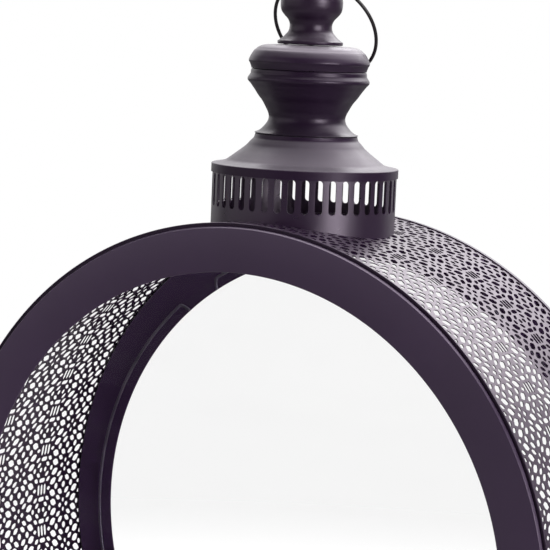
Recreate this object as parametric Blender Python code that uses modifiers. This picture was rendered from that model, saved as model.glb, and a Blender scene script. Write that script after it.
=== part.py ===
"""Round solar lantern: a punched-metal drum on a low plinth, with a slotted
chimney, a turned top, a glazed ring door and a removable solar pillar light.

Frame: metres, +Z up, front towards -Y, +X to the right. The origin is the
centre of the felt's underside, on the ground. Dimensions below are in
millimetres and are scaled once, by MM.
"""
import bpy
import bmesh
import math
from mathutils import Matrix

for old in list(bpy.data.objects):
    bpy.data.objects.remove(old, do_unlink=True)

MM = 0.001
GAP = 0.3                           # clearance between touching pieces

# ---- driving dimensions (mm) ------------------------------------------------
R_DRUM = 190.0                      # outside radius of the drum
Z_DRUM = 210.0                      # height of the drum's axis
R_OPEN = 163.0                      # radius of both ring openings
SHEET = 0.8                         # sheet of the band, rear frame and clips
DRUM_STEPS = 48                     # facets round the drum
TOP_STEPS = 24                      # facets round the turned top
Y_BAND_FRONT, Y_BAND_REAR = -67.1, 66.6
Y_HOOP_REAR = 70.1                  # rear face of the drum
Y_DOOR_FRONT, Y_DOOR_BACK = -70.5, -69.6    # faces of the door ring's flat
Y_REAR_FRAME = 63.3                 # inner face of the rear frame
R_GLASS, T_GLASS = 169.0, 2.0
CLIP_WIDTH = 9.0                    # glass lugs and clips, along the rim

R_COLLAR = 51.8                     # chimney collar, outside
T_COLLAR = 1.0
N_SLOT = 43                         # slots round the collar
SLOT_LOW, SLOT_HIGH = 195.3, 213.8  # above the drum's axis
R_ROD, R_ROD_HOLE = 2.0, 2.4        # tie rod and its holes

R_EYE_WIRE = 1.2
EYE_LEG_Y = 4.4                     # each leg of the hanging eye, off centre
R_RING = 31.5                       # ring handle, wire centre line
R_RING_WIRE = 1.0
Z_RING = 322.75                     # ring handle's pivot above the drum's axis
RING_LEAN = math.radians(33.0)      # back from hanging straight down

X_HINGE, Y_HINGE = 192.8, -72.3     # door hinge axis
R_KNUCKLE, R_PIN, R_PIN_HOLE = 2.6, 1.2, 1.5
X_LATCH = -176.0                    # latch spindle
R_SPINDLE, R_TONGUE_HOLE, R_DOOR_HOLE = 2.0, 2.3, 2.4

FELT_T, PLATE_T = 1.7, 3.0
Z_PLATE = FELT_T + GAP              # underside of the base plate
BOLT_Y = 30.0                       # drum bolts, front and rear of centre
R_BOLT, R_BOLT_HOLE = 2.4, 2.9
BASE_SCREW_XY = ((-66, -41), (66, -41), (66, 41), (-66, 41))

TRAY_TOP = 58.0
CUP_FLOOR_T = 1.0
R_PILLAR = 37.5
PILLAR_Z = TRAY_TOP + GAP + CUP_FLOOR_T + GAP
PILLAR_TOP = 150.0
PILLAR_STEPS = 28
BATTERY_Y = -8.0                    # battery axis
DOOR_SCREW_XY = (30.6, BATTERY_Y)   # screw of the battery door


# ---- scene helpers ----------------------------------------------------------
MAIN = bpy.data.collections.new("solar_lantern")
CUTTERS = bpy.data.collections.new("cutters")
bpy.context.scene.collection.children.link(MAIN)
bpy.context.scene.collection.children.link(CUTTERS)


def put(obj, mat):
    """Add a finished piece to the lantern."""
    MAIN.objects.link(obj)
    obj.data.materials.append(mat)
    return obj


def boolean(obj, other, operation):
    CUTTERS.objects.link(other)
    other.hide_render = True
    other.display_type = 'WIRE'
    mod = obj.modifiers.new(operation.lower(), 'BOOLEAN')
    mod.operation = operation
    mod.solver = 'EXACT'
    mod.object = other


def cut(obj, cutter):
    boolean(obj, cutter, 'DIFFERENCE')


def join(obj, extra):
    boolean(obj, extra, 'UNION')


def object_from(bm, name):
    mesh = bpy.data.meshes.new(name)
    bm.to_mesh(mesh)
    bm.free()
    return bpy.data.objects.new(name, mesh)


def empty(name, at):
    obj = bpy.data.objects.new(name, None)
    obj.empty_display_size = 0.02
    obj.location = [c * MM for c in at]
    MAIN.objects.link(obj)
    return obj


def hang(children, parent):
    """Parent the children to an unrotated empty without moving them."""
    inverse = Matrix.Translation(parent.location).inverted()
    for child in children:
        child.parent = parent
        child.matrix_parent_inverse = inverse


# ---- shape helpers ----------------------------------------------------------
def turned(name, profile, mat, steps=TOP_STEPS, closed=True, at=(0, 0, 0), turn=(0, 0, 0)):
    """Turn a profile of (radius, height) points, running down its outer side,
    round local Z."""
    count = len(profile)
    edges = [(i, i + 1) for i in range(count - 1)]
    if closed:
        edges.append((count - 1, 0))
    mesh = bpy.data.meshes.new(name)
    mesh.from_pydata([(r * MM, 0.0, z * MM) for r, z in profile], edges, [])
    obj = bpy.data.objects.new(name, mesh)
    obj.location = [c * MM for c in at]
    obj.rotation_euler = turn
    screw = obj.modifiers.new("turn", 'SCREW')
    screw.axis = 'Z'
    screw.angle = 2.0 * math.pi
    screw.steps = steps
    screw.render_steps = steps
    screw.use_merge_vertices = True
    screw.merge_threshold = 0.00001
    screw.use_smooth_shade = True
    return put(obj, mat)


def drum_turned(name, profile, mat):
    """Turned round the drum's own axis: profile points are (radius, world y)."""
    return turned(name, profile, mat, DRUM_STEPS, at=(0, 0, Z_DRUM), turn=(-math.pi / 2, 0, 0))


def cyl(name, r, low, high, sides=24, at=(0, 0), axis='Z'):
    """Cylinder from low to high along Z, at (x, y), or along Y, at (x, z)."""
    bm = bmesh.new()
    bmesh.ops.create_cone(bm, cap_ends=True, cap_tris=False, segments=sides,
                          radius1=r * MM, radius2=r * MM, depth=(high - low) * MM)
    bmesh.ops.translate(bm, verts=bm.verts, vec=(0, 0, 0.5 * (low + high) * MM))
    obj = object_from(bm, name)
    if axis == 'Z':
        obj.location = (at[0] * MM, at[1] * MM, 0)
    else:
        obj.rotation_euler = (-math.pi / 2, 0, 0)
        obj.location = (at[0] * MM, 0, at[1] * MM)
    return obj


def drum_cutter(name, clearance):
    """Cylinder on the drum's axis, wider than the drum by a clearance."""
    return cyl(name, R_DRUM + clearance, -80, 80, DRUM_STEPS, (0, Z_DRUM), 'Y')


def bored(name, r, span, sides, cutter, r_hole, hole_span, at=(0, 0), axis='Z'):
    """Steel nut or washer with a round hole."""
    obj = put(cyl(name, r, *span, sides, at, axis), STEEL)
    cut(obj, cyl(cutter, r_hole, *hole_span, 16, at, axis))
    return obj


def box(name, low, high):
    bm = bmesh.new()
    bmesh.ops.create_cube(bm, size=1.0)
    bmesh.ops.scale(bm, verts=bm.verts, vec=[(b - a) * MM for a, b in zip(low, high)])
    obj = object_from(bm, name)
    obj.location = [0.5 * (b + a) * MM for a, b in zip(low, high)]
    return obj


def curve(name, dimensions, points):
    """Curve object of one open polyline through (x, y, z) points."""
    data = bpy.data.curves.new(name, 'CURVE')
    data.dimensions = dimensions
    spline = data.splines.new('POLY')
    spline.points.add(len(points) - 1)
    for point, place in zip(spline.points, points):
        point.co = [c * MM for c in place] + [1]
    return bpy.data.objects.new(name, data)


def as_mesh(obj, name):
    """Swap a curve object for a clean mesh object in the same place."""
    bpy.context.scene.collection.objects.link(obj)
    bpy.context.view_layer.update()
    graph = bpy.context.evaluated_depsgraph_get()
    mesh = bpy.data.meshes.new_from_object(obj.evaluated_get(graph))
    bm = bmesh.new()
    bm.from_mesh(mesh)
    bmesh.ops.remove_doubles(bm, verts=bm.verts, dist=0.000002)
    bmesh.ops.recalc_face_normals(bm, faces=bm.faces)
    bm.to_mesh(mesh)
    bm.free()
    place = obj.matrix_world.copy()
    bpy.data.objects.remove(obj, do_unlink=True)
    result = bpy.data.objects.new(name, mesh)
    result.matrix_world = place
    return result


def outline(name, points, thick, plane='XY', level=0.0):
    """Flat outline given a thickness, centred on its plane: XY at z = level,
    XZ at y = level or YZ at x = level."""
    obj = curve(name, '2D', [(a, b, 0) for a, b in points])
    obj.data.fill_mode = 'BOTH'
    obj.data.extrude = 0.5 * thick * MM
    obj.data.splines[0].use_cyclic_u = True
    if plane == 'XY':
        obj.location = (0, 0, level * MM)
    elif plane == 'XZ':
        obj.rotation_euler = (math.pi / 2, 0, 0)
        obj.location = (0, level * MM, 0)
    else:
        obj.rotation_euler = (math.pi / 2, 0, math.pi / 2)
        obj.location = (level * MM, 0, 0)
    return as_mesh(obj, name)


def wire(name, points, r):
    obj = curve(name, '3D', points)
    obj.data.bevel_depth = r * MM
    obj.data.bevel_resolution = 1
    obj.data.use_fill_caps = True
    return as_mesh(obj, name)


def rim_clip(name, profile, degrees, mat):
    """Clip with a (radius, y) profile, placed round the drum's axis at an
    angle from +X towards +Z."""
    obj = outline(name, profile, CLIP_WIDTH)
    obj.matrix_world = (Matrix.Translation((0, 0, Z_DRUM * MM))
                        @ Matrix.Rotation(-math.radians(degrees), 4, 'Y'))
    return put(obj, mat)


def rounded_rect(half_x, half_y, r, steps=3):
    points = []
    x, y = half_x - r, half_y - r
    for cx, cy, start in ((x, y, 0), (-x, y, 90), (-x, -y, 180), (x, -y, 270)):
        for i in range(steps + 1):
            a = math.radians(start + 90.0 * i / steps)
            points.append((cx + r * math.cos(a), cy + r * math.sin(a)))
    return points


def raised(points, lift):
    """Lift the second coordinate of every point."""
    return [(a, z + lift) for a, z in points]


# ---- materials --------------------------------------------------------------
def material(name, color, rough, metal=0.0, transmission=0.0):
    mat = bpy.data.materials.new(name)
    mat.use_nodes = True
    shader = mat.node_tree.nodes["Principled BSDF"]
    shader.inputs["Base Color"].default_value = (*color, 1.0)
    shader.inputs["Roughness"].default_value = rough
    shader.inputs["Metallic"].default_value = metal
    shader.inputs["Transmission Weight"].default_value = transmission
    return mat


AUBERGINE = (0.050, 0.032, 0.052)
PAINT = {part: material("paint_" + part, color=AUBERGINE, rough=0.42, metal=0.35)
         for part in ("band", "hoop", "door", "frame", "collar", "skirt", "waist", "cap",
                      "finial", "eye", "ring", "hinge", "latch", "pedestal", "plate",
                      "tray", "cup", "bracket")}
GLASS = material("clear_glass", color=(0.95, 0.97, 0.96), rough=0.03, transmission=1.0)
STEEL = material("zinc_steel", color=(0.55, 0.55, 0.53), rough=0.35, metal=1.0)
SPRING = material("spring_wire", color=(0.16, 0.14, 0.17), rough=0.35, metal=1.0)
FELT = material("black_felt", color=(0.02, 0.02, 0.02), rough=0.95)
WAX = material("ivory_resin", color=(0.80, 0.70, 0.52), rough=0.55, transmission=0.15)
PLASTIC = material("ivory_plastic", color=(0.70, 0.64, 0.52), rough=0.5)
BLACK_PLASTIC = material("black_plastic", color=(0.02, 0.02, 0.02), rough=0.45)
CELL = material("solar_silicon", color=(0.010, 0.016, 0.060), rough=0.25, metal=0.1)
RESIN = material("clear_resin", color=(0.95, 0.95, 0.95), rough=0.08, transmission=1.0)
FLAME = material("amber_lens", color=(0.95, 0.72, 0.35), rough=0.3, transmission=0.6)
LED = material("led_epoxy", color=(0.95, 0.85, 0.55), rough=0.1, transmission=0.8)
BOARD = material("board_green", color=(0.02, 0.16, 0.07), rough=0.5)
BATTERY = material("battery_sleeve", color=(0.02, 0.22, 0.12), rough=0.35, metal=0.1)
RED_WIRE = material("red_wire", color=(0.45, 0.02, 0.02), rough=0.5)


# ---- drum -------------------------------------------------------------------
def build_drum():
    r_in = R_DRUM - SHEET
    band = drum_turned("perforated_band", [
        (R_DRUM, Y_BAND_REAR), (R_DRUM, Y_BAND_FRONT), (r_in, Y_BAND_FRONT), (r_in, Y_BAND_REAR),
    ], PAINT["band"])
    # opening under the chimney
    cut(band, cyl("cut_vent", 42.0, Z_DRUM + 150, Z_DRUM + 200, 32))
    for tag, y in (("a", -BOLT_Y), ("b", BOLT_Y)):
        cut(band, cyl("cut_band_bolt_" + tag, R_BOLT_HOLE, 12, 30, 12, (0, y)))

    # front hoop: a flush outer wall and a flange that the door stops on
    y_back = Y_BAND_FRONT - GAP
    drum_turned("front_hoop", [
        (R_DRUM, y_back), (R_DRUM, -70.2), (189.2, -70.2), (189.2, -68.2),
        (183.0, -68.2), (183.0, y_back),
    ], PAINT["hoop"])
    y_front = Y_BAND_REAR + GAP
    drum_turned("rear_hoop", [
        (R_DRUM, Y_HOOP_REAR), (R_DRUM, y_front), (188.4, y_front), (188.4, 69.3),
        (184.5, 69.3), (184.5, Y_HOOP_REAR),
    ], PAINT["hoop"])
    r_out, y_flange = 187.6, Y_REAR_FRAME + SHEET
    drum_turned("rear_frame", [
        (r_out, 69.0), (r_out, Y_REAR_FRAME), (R_OPEN, Y_REAR_FRAME), (R_OPEN, y_flange),
        (r_out - SHEET, y_flange), (r_out - SHEET, 69.0),
    ], PAINT["frame"])


def build_rear_glazing():
    """Rear glass, held from inside by a sprung wire under three lugs."""
    y_glass_back = Y_REAR_FRAME - GAP
    y_glass = y_glass_back - T_GLASS
    put(cyl("rear_glass", R_GLASS, y_glass, y_glass_back, DRUM_STEPS, (0, Z_DRUM), 'Y'), GLASS)

    r_wire, r_loop, steps = 0.9, 168.8, 40
    gap_start, gap_end = 123.0, 132.0       # open gap, degrees from +X towards +Z
    y_wire = y_glass - GAP - r_wire
    loop = []
    for i in range(steps + 1):
        a = math.radians(gap_end + (360.0 - (gap_end - gap_start)) * i / steps)
        loop.append((r_loop * math.cos(a), y_wire, Z_DRUM + r_loop * math.sin(a)))
    put(wire("rear_glass_wire", loop, r_wire), SPRING)

    # lug: foot on the frame, riser, finger over the wire
    y_foot = Y_REAR_FRAME - GAP
    y_finger = y_wire - r_wire - GAP
    lug = [(171.6, y_foot), (171.6, y_finger), (167.6, y_finger), (167.6, y_finger - SHEET),
           (172.4, y_finger - SHEET), (172.4, y_foot - SHEET), (177.5, y_foot - SHEET),
           (177.5, y_foot)]
    for i, degrees in enumerate((90.0, 210.0, 330.0), 1):
        rim_clip("rear_lug_%d" % i, lug, degrees, PAINT["frame"])


# ---- door -------------------------------------------------------------------
def build_door_ring():
    """Door ring with its glass and the three clips that hold it."""
    ring = drum_turned("door_ring", [
        (187.9, -68.6), (187.9, -69.3), (187.3, -70.1), (186.2, Y_DOOR_FRONT),
        (R_OPEN + 0.5, Y_DOOR_FRONT), (R_OPEN, Y_DOOR_FRONT + 0.4), (R_OPEN, Y_DOOR_BACK),
        (186.9, Y_DOOR_BACK), (186.9, -68.6),
    ], PAINT["door"])
    cut(ring, cyl("cut_latch", R_DOOR_HOLE, -75, -65, 16, (X_LATCH, Z_DRUM), 'Y'))
    y_front = Y_DOOR_BACK + GAP
    y_back = y_front + T_GLASS
    glass = put(cyl("front_glass", R_GLASS, y_front, y_back, DRUM_STEPS, (0, Z_DRUM), 'Y'), GLASS)
    y_finger = y_back + GAP
    clip = [(170.2, y_front), (180.0, y_front), (180.0, y_front + SHEET),
            (171.0, y_front + SHEET), (171.0, y_finger + SHEET), (164.2, y_finger + SHEET),
            (164.2, y_finger), (170.2, y_finger)]
    clips = [rim_clip("front_clip_%d" % i, clip, degrees, PAINT["door"])
             for i, degrees in enumerate((60.0, 150.0, 300.0), 1)]
    return [ring, glass] + clips


def build_hinge():
    """Three knuckles on one pin, at the drum's right-hand side. Returns the
    leaf that moves with the door."""
    axis = (X_HINGE, Y_HINGE)
    x0, x1 = 190.4, 191.6                   # body leaf, inner and outer face
    half, half_mid = 20.0, 11.6             # half height: body leaf, door leaf
    body = put(box("hinge_leaf_body", (x0, -68.6, Z_DRUM - half), (x1, -50.0, Z_DRUM + half)),
               PAINT["hinge"])
    for tag, low, high in (("lo", -half, -12.0), ("hi", 12.0, half)):
        low += Z_DRUM
        high += Z_DRUM
        join(body, box("add_arm_" + tag, (x0, Y_HINGE, low), (x1, -68.0, high)))
        join(body, cyl("add_knuckle_" + tag, R_KNUCKLE, low, high, 16, axis))
    cut(body, cyl("cut_pin_body", R_PIN_HOLE, Z_DRUM - 30, Z_DRUM + 30, 16, axis))

    low, high = Z_DRUM - half_mid, Z_DRUM + half_mid
    leaf = put(box("hinge_leaf_door", (171.0, -71.9, low), (192.2, -70.8, high)), PAINT["hinge"])
    join(leaf, cyl("add_knuckle_mid", R_KNUCKLE, low, high, 16, axis))
    cut(leaf, cyl("cut_pin_door", R_PIN_HOLE, Z_DRUM - 30, Z_DRUM + 30, 16, axis))

    turned("hinge_pin", [
        (0, 22.6), (1.6, 22.3), (2.3, 20.9), (2.3, 20.4), (R_PIN, 20.4), (R_PIN, -20.6),
        (0.8, -21.4), (0, -21.4),
    ], STEEL, 16, closed=False, at=(X_HINGE, Y_HINGE, Z_DRUM))
    return leaf


def build_latch():
    """Turn knob whose tongue turns behind the hoop's flange. Returns its axis."""
    axis = empty("latch_axis", (X_LATCH, -70, Z_DRUM))
    # heights here run forward, towards -Y
    knob = turned("latch_knob", [
        (0, 86.4), (3.0, 86.0), (5.4, 84.6), (6.5, 82.4), (6.3, 80.2), (5.0, 78.4),
        (3.2, 76.8), (2.8, 75.0), (3.6, 72.6), (5.4, 71.6), (5.4, 70.9),
        (R_SPINDLE, 70.9), (R_SPINDLE, 63.6), (0, 63.6),
    ], PAINT["latch"], 16, closed=False, at=(X_LATCH, 0, Z_DRUM), turn=(math.pi / 2, 0, 0))
    # (x, z) from the spindle
    shape = [(-3.6, -3.6), (3.6, -3.6), (3.6, 7.0), (2.2, 10.6), (-2.2, 10.6), (-3.6, 7.0)]
    shape = [(X_LATCH + x, Z_DRUM + z) for x, z in shape]
    tongue = put(outline("latch_tongue", shape, 1.0, 'XZ', -66.5), PAINT["latch"])
    spindle, hole_span = (X_LATCH, Z_DRUM), (-70, -60)
    cut(tongue, cyl("cut_tongue", R_TONGUE_HOLE, *hole_span, 16, spindle, 'Y'))
    nut = bored("latch_nut", 3.7, (-65.7, -63.9), 6,
                "cut_latch_nut", R_TONGUE_HOLE, hole_span, spindle, 'Y')
    hang([knob, tongue, nut], axis)
    return axis


def build_door():
    axis = empty("door_axis", (X_HINGE, Y_HINGE, Z_DRUM))
    hang(build_door_ring() + [build_hinge(), build_latch()], axis)


# ---- chimney and turned top -------------------------------------------------
# Tables of (height above the drum's axis, radius), both in drum radii.
HOLE = R_ROD_HOLE / R_DRUM

SKIRT = [
    (1.2430, HOLE), (1.2430, .1480), (1.2365, .1480), (1.2335, .1575), (1.2090, .1740),
    (1.1970, .1880), (1.1850, .2035), (1.1705, .2220), (1.1610, .2380), (1.1530, .2620),
    (1.1490, .2768), (1.1260, .2768), (1.1260, .2745), (1.1440, .2745), (1.1475, .2590),
    (1.1560, .2330), (1.1800, .1990), (1.2200, .1560), (1.2370, .1390), (1.2370, HOLE),
]
WAIST = [
    (1.4322, .1700), (1.4230, .1718), (1.4085, .1788), (1.4030, .1802), (1.3960, .1770),
    (1.3870, .1690), (1.3730, .1580), (1.3565, .1470), (1.3370, .1330), (1.3160, .1205),
    (1.2930, .1132), (1.2740, .1200), (1.2530, .1400), (1.2475, .1550), (1.2450, .1550),
    (1.2450, .1400), (1.2640, .1180), (1.2930, .1075), (1.3180, .1145), (1.3600, .1415),
    (1.3900, .1640), (1.4322, .1660),
]
CAP = [
    (1.5060, HOLE), (1.5055, .1150), (1.5030, .1340), (1.4975, .1500), (1.4870, .1625),
    (1.4745, .1720), (1.4620, .1780), (1.4560, .1790), (1.4435, .1735), (1.4340, .1705),
    (1.4340, .1660), (1.4450, .1665), (1.4560, .1720), (1.4740, .1650), (1.4850, .1560),
    (1.4970, .1330), (1.5005, .1130), (1.5005, HOLE),
]
# upper half of the finial's ball, an ellipse from its crown to its widest
BALL = [(1.632 + .0596 * math.cos(math.radians(a)), .092 * math.sin(math.radians(a)))
        for a in (0, 18, 36, 54, 72, 90)]
FINIAL = BALL + [
    (1.6150, .0905), (1.6040, .0873), (1.5925, .0785), (1.5810, .0680), (1.5700, .0632),
    (1.5560, .0630), (1.5450, .0665), (1.5300, .0790), (1.5200, .0930), (1.5170, .0965),
    (1.5110, .0965), (1.5078, .0930), (1.5078, 0.0),
]


def top_z(k):
    """Height of a point k drum radii above the drum's axis."""
    return Z_DRUM + k * R_DRUM


def top_profile(table):
    return [(r * R_DRUM, top_z(z)) for z, r in table]


def build_collar():
    """Strip of three rows with every other panel of the middle row open."""
    panels = 2 * N_SLOT
    pitch = 360.0 / panels
    z_slot_low, z_slot_high = Z_DRUM + SLOT_LOW, Z_DRUM + SLOT_HIGH
    r_mid = R_COLLAR - 0.5 * T_COLLAR
    bm = bmesh.new()
    verts = [bm.verts.new((r_mid * MM, 0, z * MM))
             for z in (Z_DRUM + 178.0, z_slot_low, z_slot_high, top_z(1.1415))]
    edges = [bm.edges.new((verts[i], verts[i + 1])) for i in range(3)]
    bmesh.ops.spin(bm, geom=verts + edges, cent=(0, 0, 0), axis=(0, 0, 1),
                   angle=2 * math.pi, steps=panels, use_merge=True)
    bmesh.ops.remove_doubles(bm, verts=bm.verts, dist=0.00001)
    slots = []
    for face in bm.faces:
        centre = face.calc_center_median()
        degrees = math.degrees(math.atan2(centre.y, centre.x)) % 360.0
        in_row = z_slot_low * MM < centre.z < z_slot_high * MM
        if in_row and math.floor(degrees / pitch) % 2 == 0:
            slots.append(face)
    bmesh.ops.delete(bm, geom=slots, context='FACES')
    bmesh.ops.recalc_face_normals(bm, faces=bm.faces)
    collar = put(object_from(bm, "chimney_collar"), PAINT["collar"])
    # half a panel's turn puts a bar, not a slot, in the middle of the front
    collar.rotation_euler = (0, 0, math.radians(-90.0 + 0.5 * pitch))
    wall = collar.modifiers.new("wall", 'SOLIDIFY')
    wall.thickness = T_COLLAR * MM
    wall.offset = 0.0
    cut(collar, drum_cutter("cut_saddle", 0.4))


def build_turned_top():
    turned("skirt_roof", top_profile(SKIRT), PAINT["skirt"], 36)
    turned("waist_body", top_profile(WAIST), PAINT["waist"])
    turned("cap", top_profile(CAP), PAINT["cap"])
    finial = turned("finial", top_profile(FINIAL), PAINT["finial"], closed=False)
    cut(finial, cyl("cut_finial_rod", R_ROD_HOLE, top_z(1.49), top_z(1.5800), 16))
    for tag, y in (("a", -EYE_LEG_Y), ("b", EYE_LEG_Y)):
        cut(finial, cyl("cut_eye_leg_" + tag, 1.6, Z_DRUM + 313.6, Z_DRUM + 330, 12, (0, y)))


def build_hanging_eye():
    """Staple whose legs go down into the finial's crown."""
    leg_z = [Z_DRUM + z for z in (314.2, 319.5, 324.65)]
    points = [(0, -EYE_LEG_Y, z) for z in leg_z]
    for i in range(1, 8):
        a = math.pi - math.pi * i / 8
        points.append((0, EYE_LEG_Y * math.cos(a), leg_z[-1] + EYE_LEG_Y * math.sin(a)))
    points += [(0, EYE_LEG_Y, z) for z in reversed(leg_z)]
    put(wire("hanging_eye", points, R_EYE_WIRE), PAINT["eye"])


def build_ring_handle():
    """Ring that passes under the staple and leans back on the cap."""
    z_pivot = Z_DRUM + Z_RING
    axis = empty("ring_axis", (0, 0, z_pivot))
    section = [(R_RING + R_RING_WIRE * math.cos(math.radians(a)),
                R_RING_WIRE * math.sin(math.radians(a))) for a in (90, 30, -30, -90, -150, 150)]
    centre = (0, R_RING * math.sin(RING_LEAN), z_pivot - R_RING * math.cos(RING_LEAN))
    ring = turned("ring_handle", section, PAINT["ring"], 32, at=centre,
                  turn=(math.pi / 2 + RING_LEAN, 0, 0))
    hang([ring], axis)


def build_tie_rod():
    """Rod, washer and nut that clamp the turned top to the skirt roof."""
    put(cyl("tie_rod", R_ROD, Z_DRUM + 227.5, top_z(1.5770), 16), STEEL)
    hole_span = (Z_DRUM + 220, Z_DRUM + 240)
    bored("tie_washer", 7.0, (Z_DRUM + 233.5, Z_DRUM + 234.7), 24,
          "cut_washer", R_ROD_HOLE, hole_span)
    bored("tie_nut", 4.1, (Z_DRUM + 229.8, Z_DRUM + 233.1), 6,
          "cut_tie_nut", R_ROD_HOLE, hole_span)


# ---- foot -------------------------------------------------------------------
def build_base():
    """Felt and base plate. Returns the plate."""
    felt = outline("base_felt", rounded_rect(93.0, 70.0, 16.0), FELT_T, 'XY', FELT_T / 2)
    put(felt, FELT)
    plate = put(outline("base_plate", rounded_rect(96.0, 73.0, 18.0), PLATE_T, 'XY',
                        Z_PLATE + PLATE_T / 2), PAINT["plate"])
    edge = plate.modifiers.new("edge", 'BEVEL')
    edge.width = 0.8 * MM
    edge.segments = 1
    edge.limit_method = 'ANGLE'
    edge.angle_limit = math.radians(60)
    return plate


def build_pedestal():
    """Hollow block, cradled to the drum."""
    pedestal = put(box("pedestal", (-75, -50, Z_PLATE + PLATE_T + GAP), (75, 50, 40)),
                   PAINT["pedestal"])
    cut(pedestal, drum_cutter("cut_cradle", 0.4))
    # two crossing boxes hollow it and leave its corners solid for the screws
    for tag, x, y in (("x", 73.4, 34.0), ("y", 59.0, 48.4)):
        cavity = box("cut_cavity_" + tag, (-x, -y, 0), (x, y, 38))
        cut(cavity, drum_cutter("cut_cavity_top_" + tag, 2.2))
        cut(pedestal, cavity)
    return pedestal


def build_base_screws(plate, pedestal):
    profile = [(0, 13.4), (0.6, 13.2), (1.4, 12.0), (1.4, 3.4), (3.1, 3.4), (3.1, 2.6),
               (2.6, 2.1), (0, 2.1)]
    for i, (x, y) in enumerate(BASE_SCREW_XY):
        cut(pedestal, cyl("cut_ped_screw_%d" % i, 1.8, 3, 14, 12, (x, y)))
        cut(plate, cyl("cut_plate_screw_%d" % i, 1.8, 0, 8, 12, (x, y)))
        cut(plate, cyl("cut_plate_head_%d" % i, 3.5, 0, 3.7, 16, (x, y)))
        turned("base_screw_%d" % (i + 1), profile, STEEL, 12, closed=False, at=(x, y, 0))


def build_drum_bolts(pedestal):
    """Bolts that hold the drum to the pedestal, nuts below."""
    profile = [(0, 25.2), (2.4, 25.0), (4.0, 24.0), (4.6, 22.2), (4.6, 21.7),
               (R_BOLT, 21.7), (R_BOLT, 11.6), (0, 11.6)]
    for tag, y in (("front", -BOLT_Y), ("rear", BOLT_Y)):
        cut(pedestal, cyl("cut_ped_bolt_" + tag, R_BOLT_HOLE, 10, 25, 12, (0, y)))
        turned("drum_bolt_" + tag, profile, STEEL, 16, closed=False, at=(0, y, 0))
        bored("drum_nut_" + tag, 4.6, (13.2, 17.3), 6, "cut_drum_nut_" + tag, 2.8, (10, 20), (0, y))


# ---- shelf inside -----------------------------------------------------------
def build_shelf():
    # section in (y, z), z from the tray's top face
    section = [(-56.0, 5.0), (-57.2, 5.0), (-57.2, -1.2), (57.2, -1.2), (57.2, 5.0),
               (56.0, 5.0), (56.0, 0.0), (-56.0, 0.0)]
    put(outline("floor_tray", raised(section, TRAY_TOP), 212.0, 'YZ'), PAINT["tray"])

    z_top, z_low, z_foot = TRAY_TOP - 1.5, TRAY_TOP - 3.0, 41.9
    for tag, side in (("left", -1), ("right", 1)):
        angle = [(side * x, z) for x, z in (
            (68.0, z_low), (68.0, z_top), (85.0, z_top), (85.0, z_foot), (83.5, z_foot),
            (83.5, z_low))]
        put(outline("tray_bracket_" + tag, angle, 60.0, 'XZ'), PAINT["bracket"])

    floor = GAP + CUP_FLOOR_T
    cup = [(0, floor), (38.6, floor), (38.6, 9.0), (39.3, 9.4), (40.0, 9.0), (40.0, GAP),
           (0, GAP)]
    turned("candle_cup", raised(cup, TRAY_TOP), PAINT["cup"], 28, closed=False)


# ---- solar pillar light -----------------------------------------------------
# Heights in this section are above the pillar's underside, PILLAR_Z.
def pillar_box(name, low, high):
    return box(name, (*low[:2], PILLAR_Z + low[2]), (*high[:2], PILLAR_Z + high[2]))


def pillar_cyl(name, r, low, high, sides, at=(0, 0)):
    return cyl(name, r, PILLAR_Z + low, PILLAR_Z + high, sides, at)


def pillar_turned(name, profile, mat, steps=PILLAR_STEPS, closed=True, at=(0, 0, 0)):
    return turned(name, raised(profile, PILLAR_Z), mat, steps, closed, at)


def build_pillar_shell():
    """Base disc and wax-like body."""
    base = put(pillar_cyl("pillar_base", 36.6, 0, 2.5, PILLAR_STEPS), PLASTIC)
    cut(base, pillar_box("cut_door_opening", (-28.6, -17.0, -5), (33.6, 1.0, 5)))
    cut(base, pillar_box("cut_switch_opening", (-5.4, 20.2, -5), (5.4, 23.8, 5)))
    top, r_in = PILLAR_TOP - PILLAR_Z, 35.7
    body = pillar_turned("pillar_body", [
        (R_PILLAR - 0.9, top), (R_PILLAR, top - 1.2), (R_PILLAR, 2.8), (r_in, 2.8),
        (r_in, top - 1.2),
    ], WAX)
    return [base, body]


def build_pillar_top():
    """Deck, solar cell and cover rings, then the lens, LED and board."""
    pieces = []
    # name, inner radius, outer radius, bottom, top, material
    for name, r_in, r_out, low, high, mat in (
            ("pillar_deck", 6.6, 35.3, 77.0, 78.6, PLASTIC),
            ("solar_cell", 10.0, 33.0, 78.9, 79.9, CELL),
            ("cell_cover", 8.0, 34.6, 80.2, 82.2, RESIN)):
        section = [(r_in, high), (r_out, high), (r_out, low), (r_in, low)]
        pieces.append(pillar_turned(name, section, mat))
    lens = pillar_turned("flame_lens", [
        (0, 112.0), (1.0, 109.5), (3.0, 104.0), (5.2, 97.0), (6.1, 91.0), (6.0, 84.0),
        (5.4, 74.0), (4.3, 74.0), (4.6, 90.0), (3.6, 97.0), (1.6, 104.0), (0, 106.0),
    ], FLAME, 16, closed=False)
    led = pillar_turned("led", [
        (0, 80.6), (1.4, 80.2), (2.3, 79.0), (2.5, 77.6), (2.5, 73.2), (2.9, 73.2),
        (2.9, 72.2), (0, 72.2),
    ], LED, 12, closed=False)
    board = put(pillar_box("circuit_board", (-22, -13, 70.3), (22, 13, 71.9)), BOARD)
    return pieces + [lens, led, board]


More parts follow.
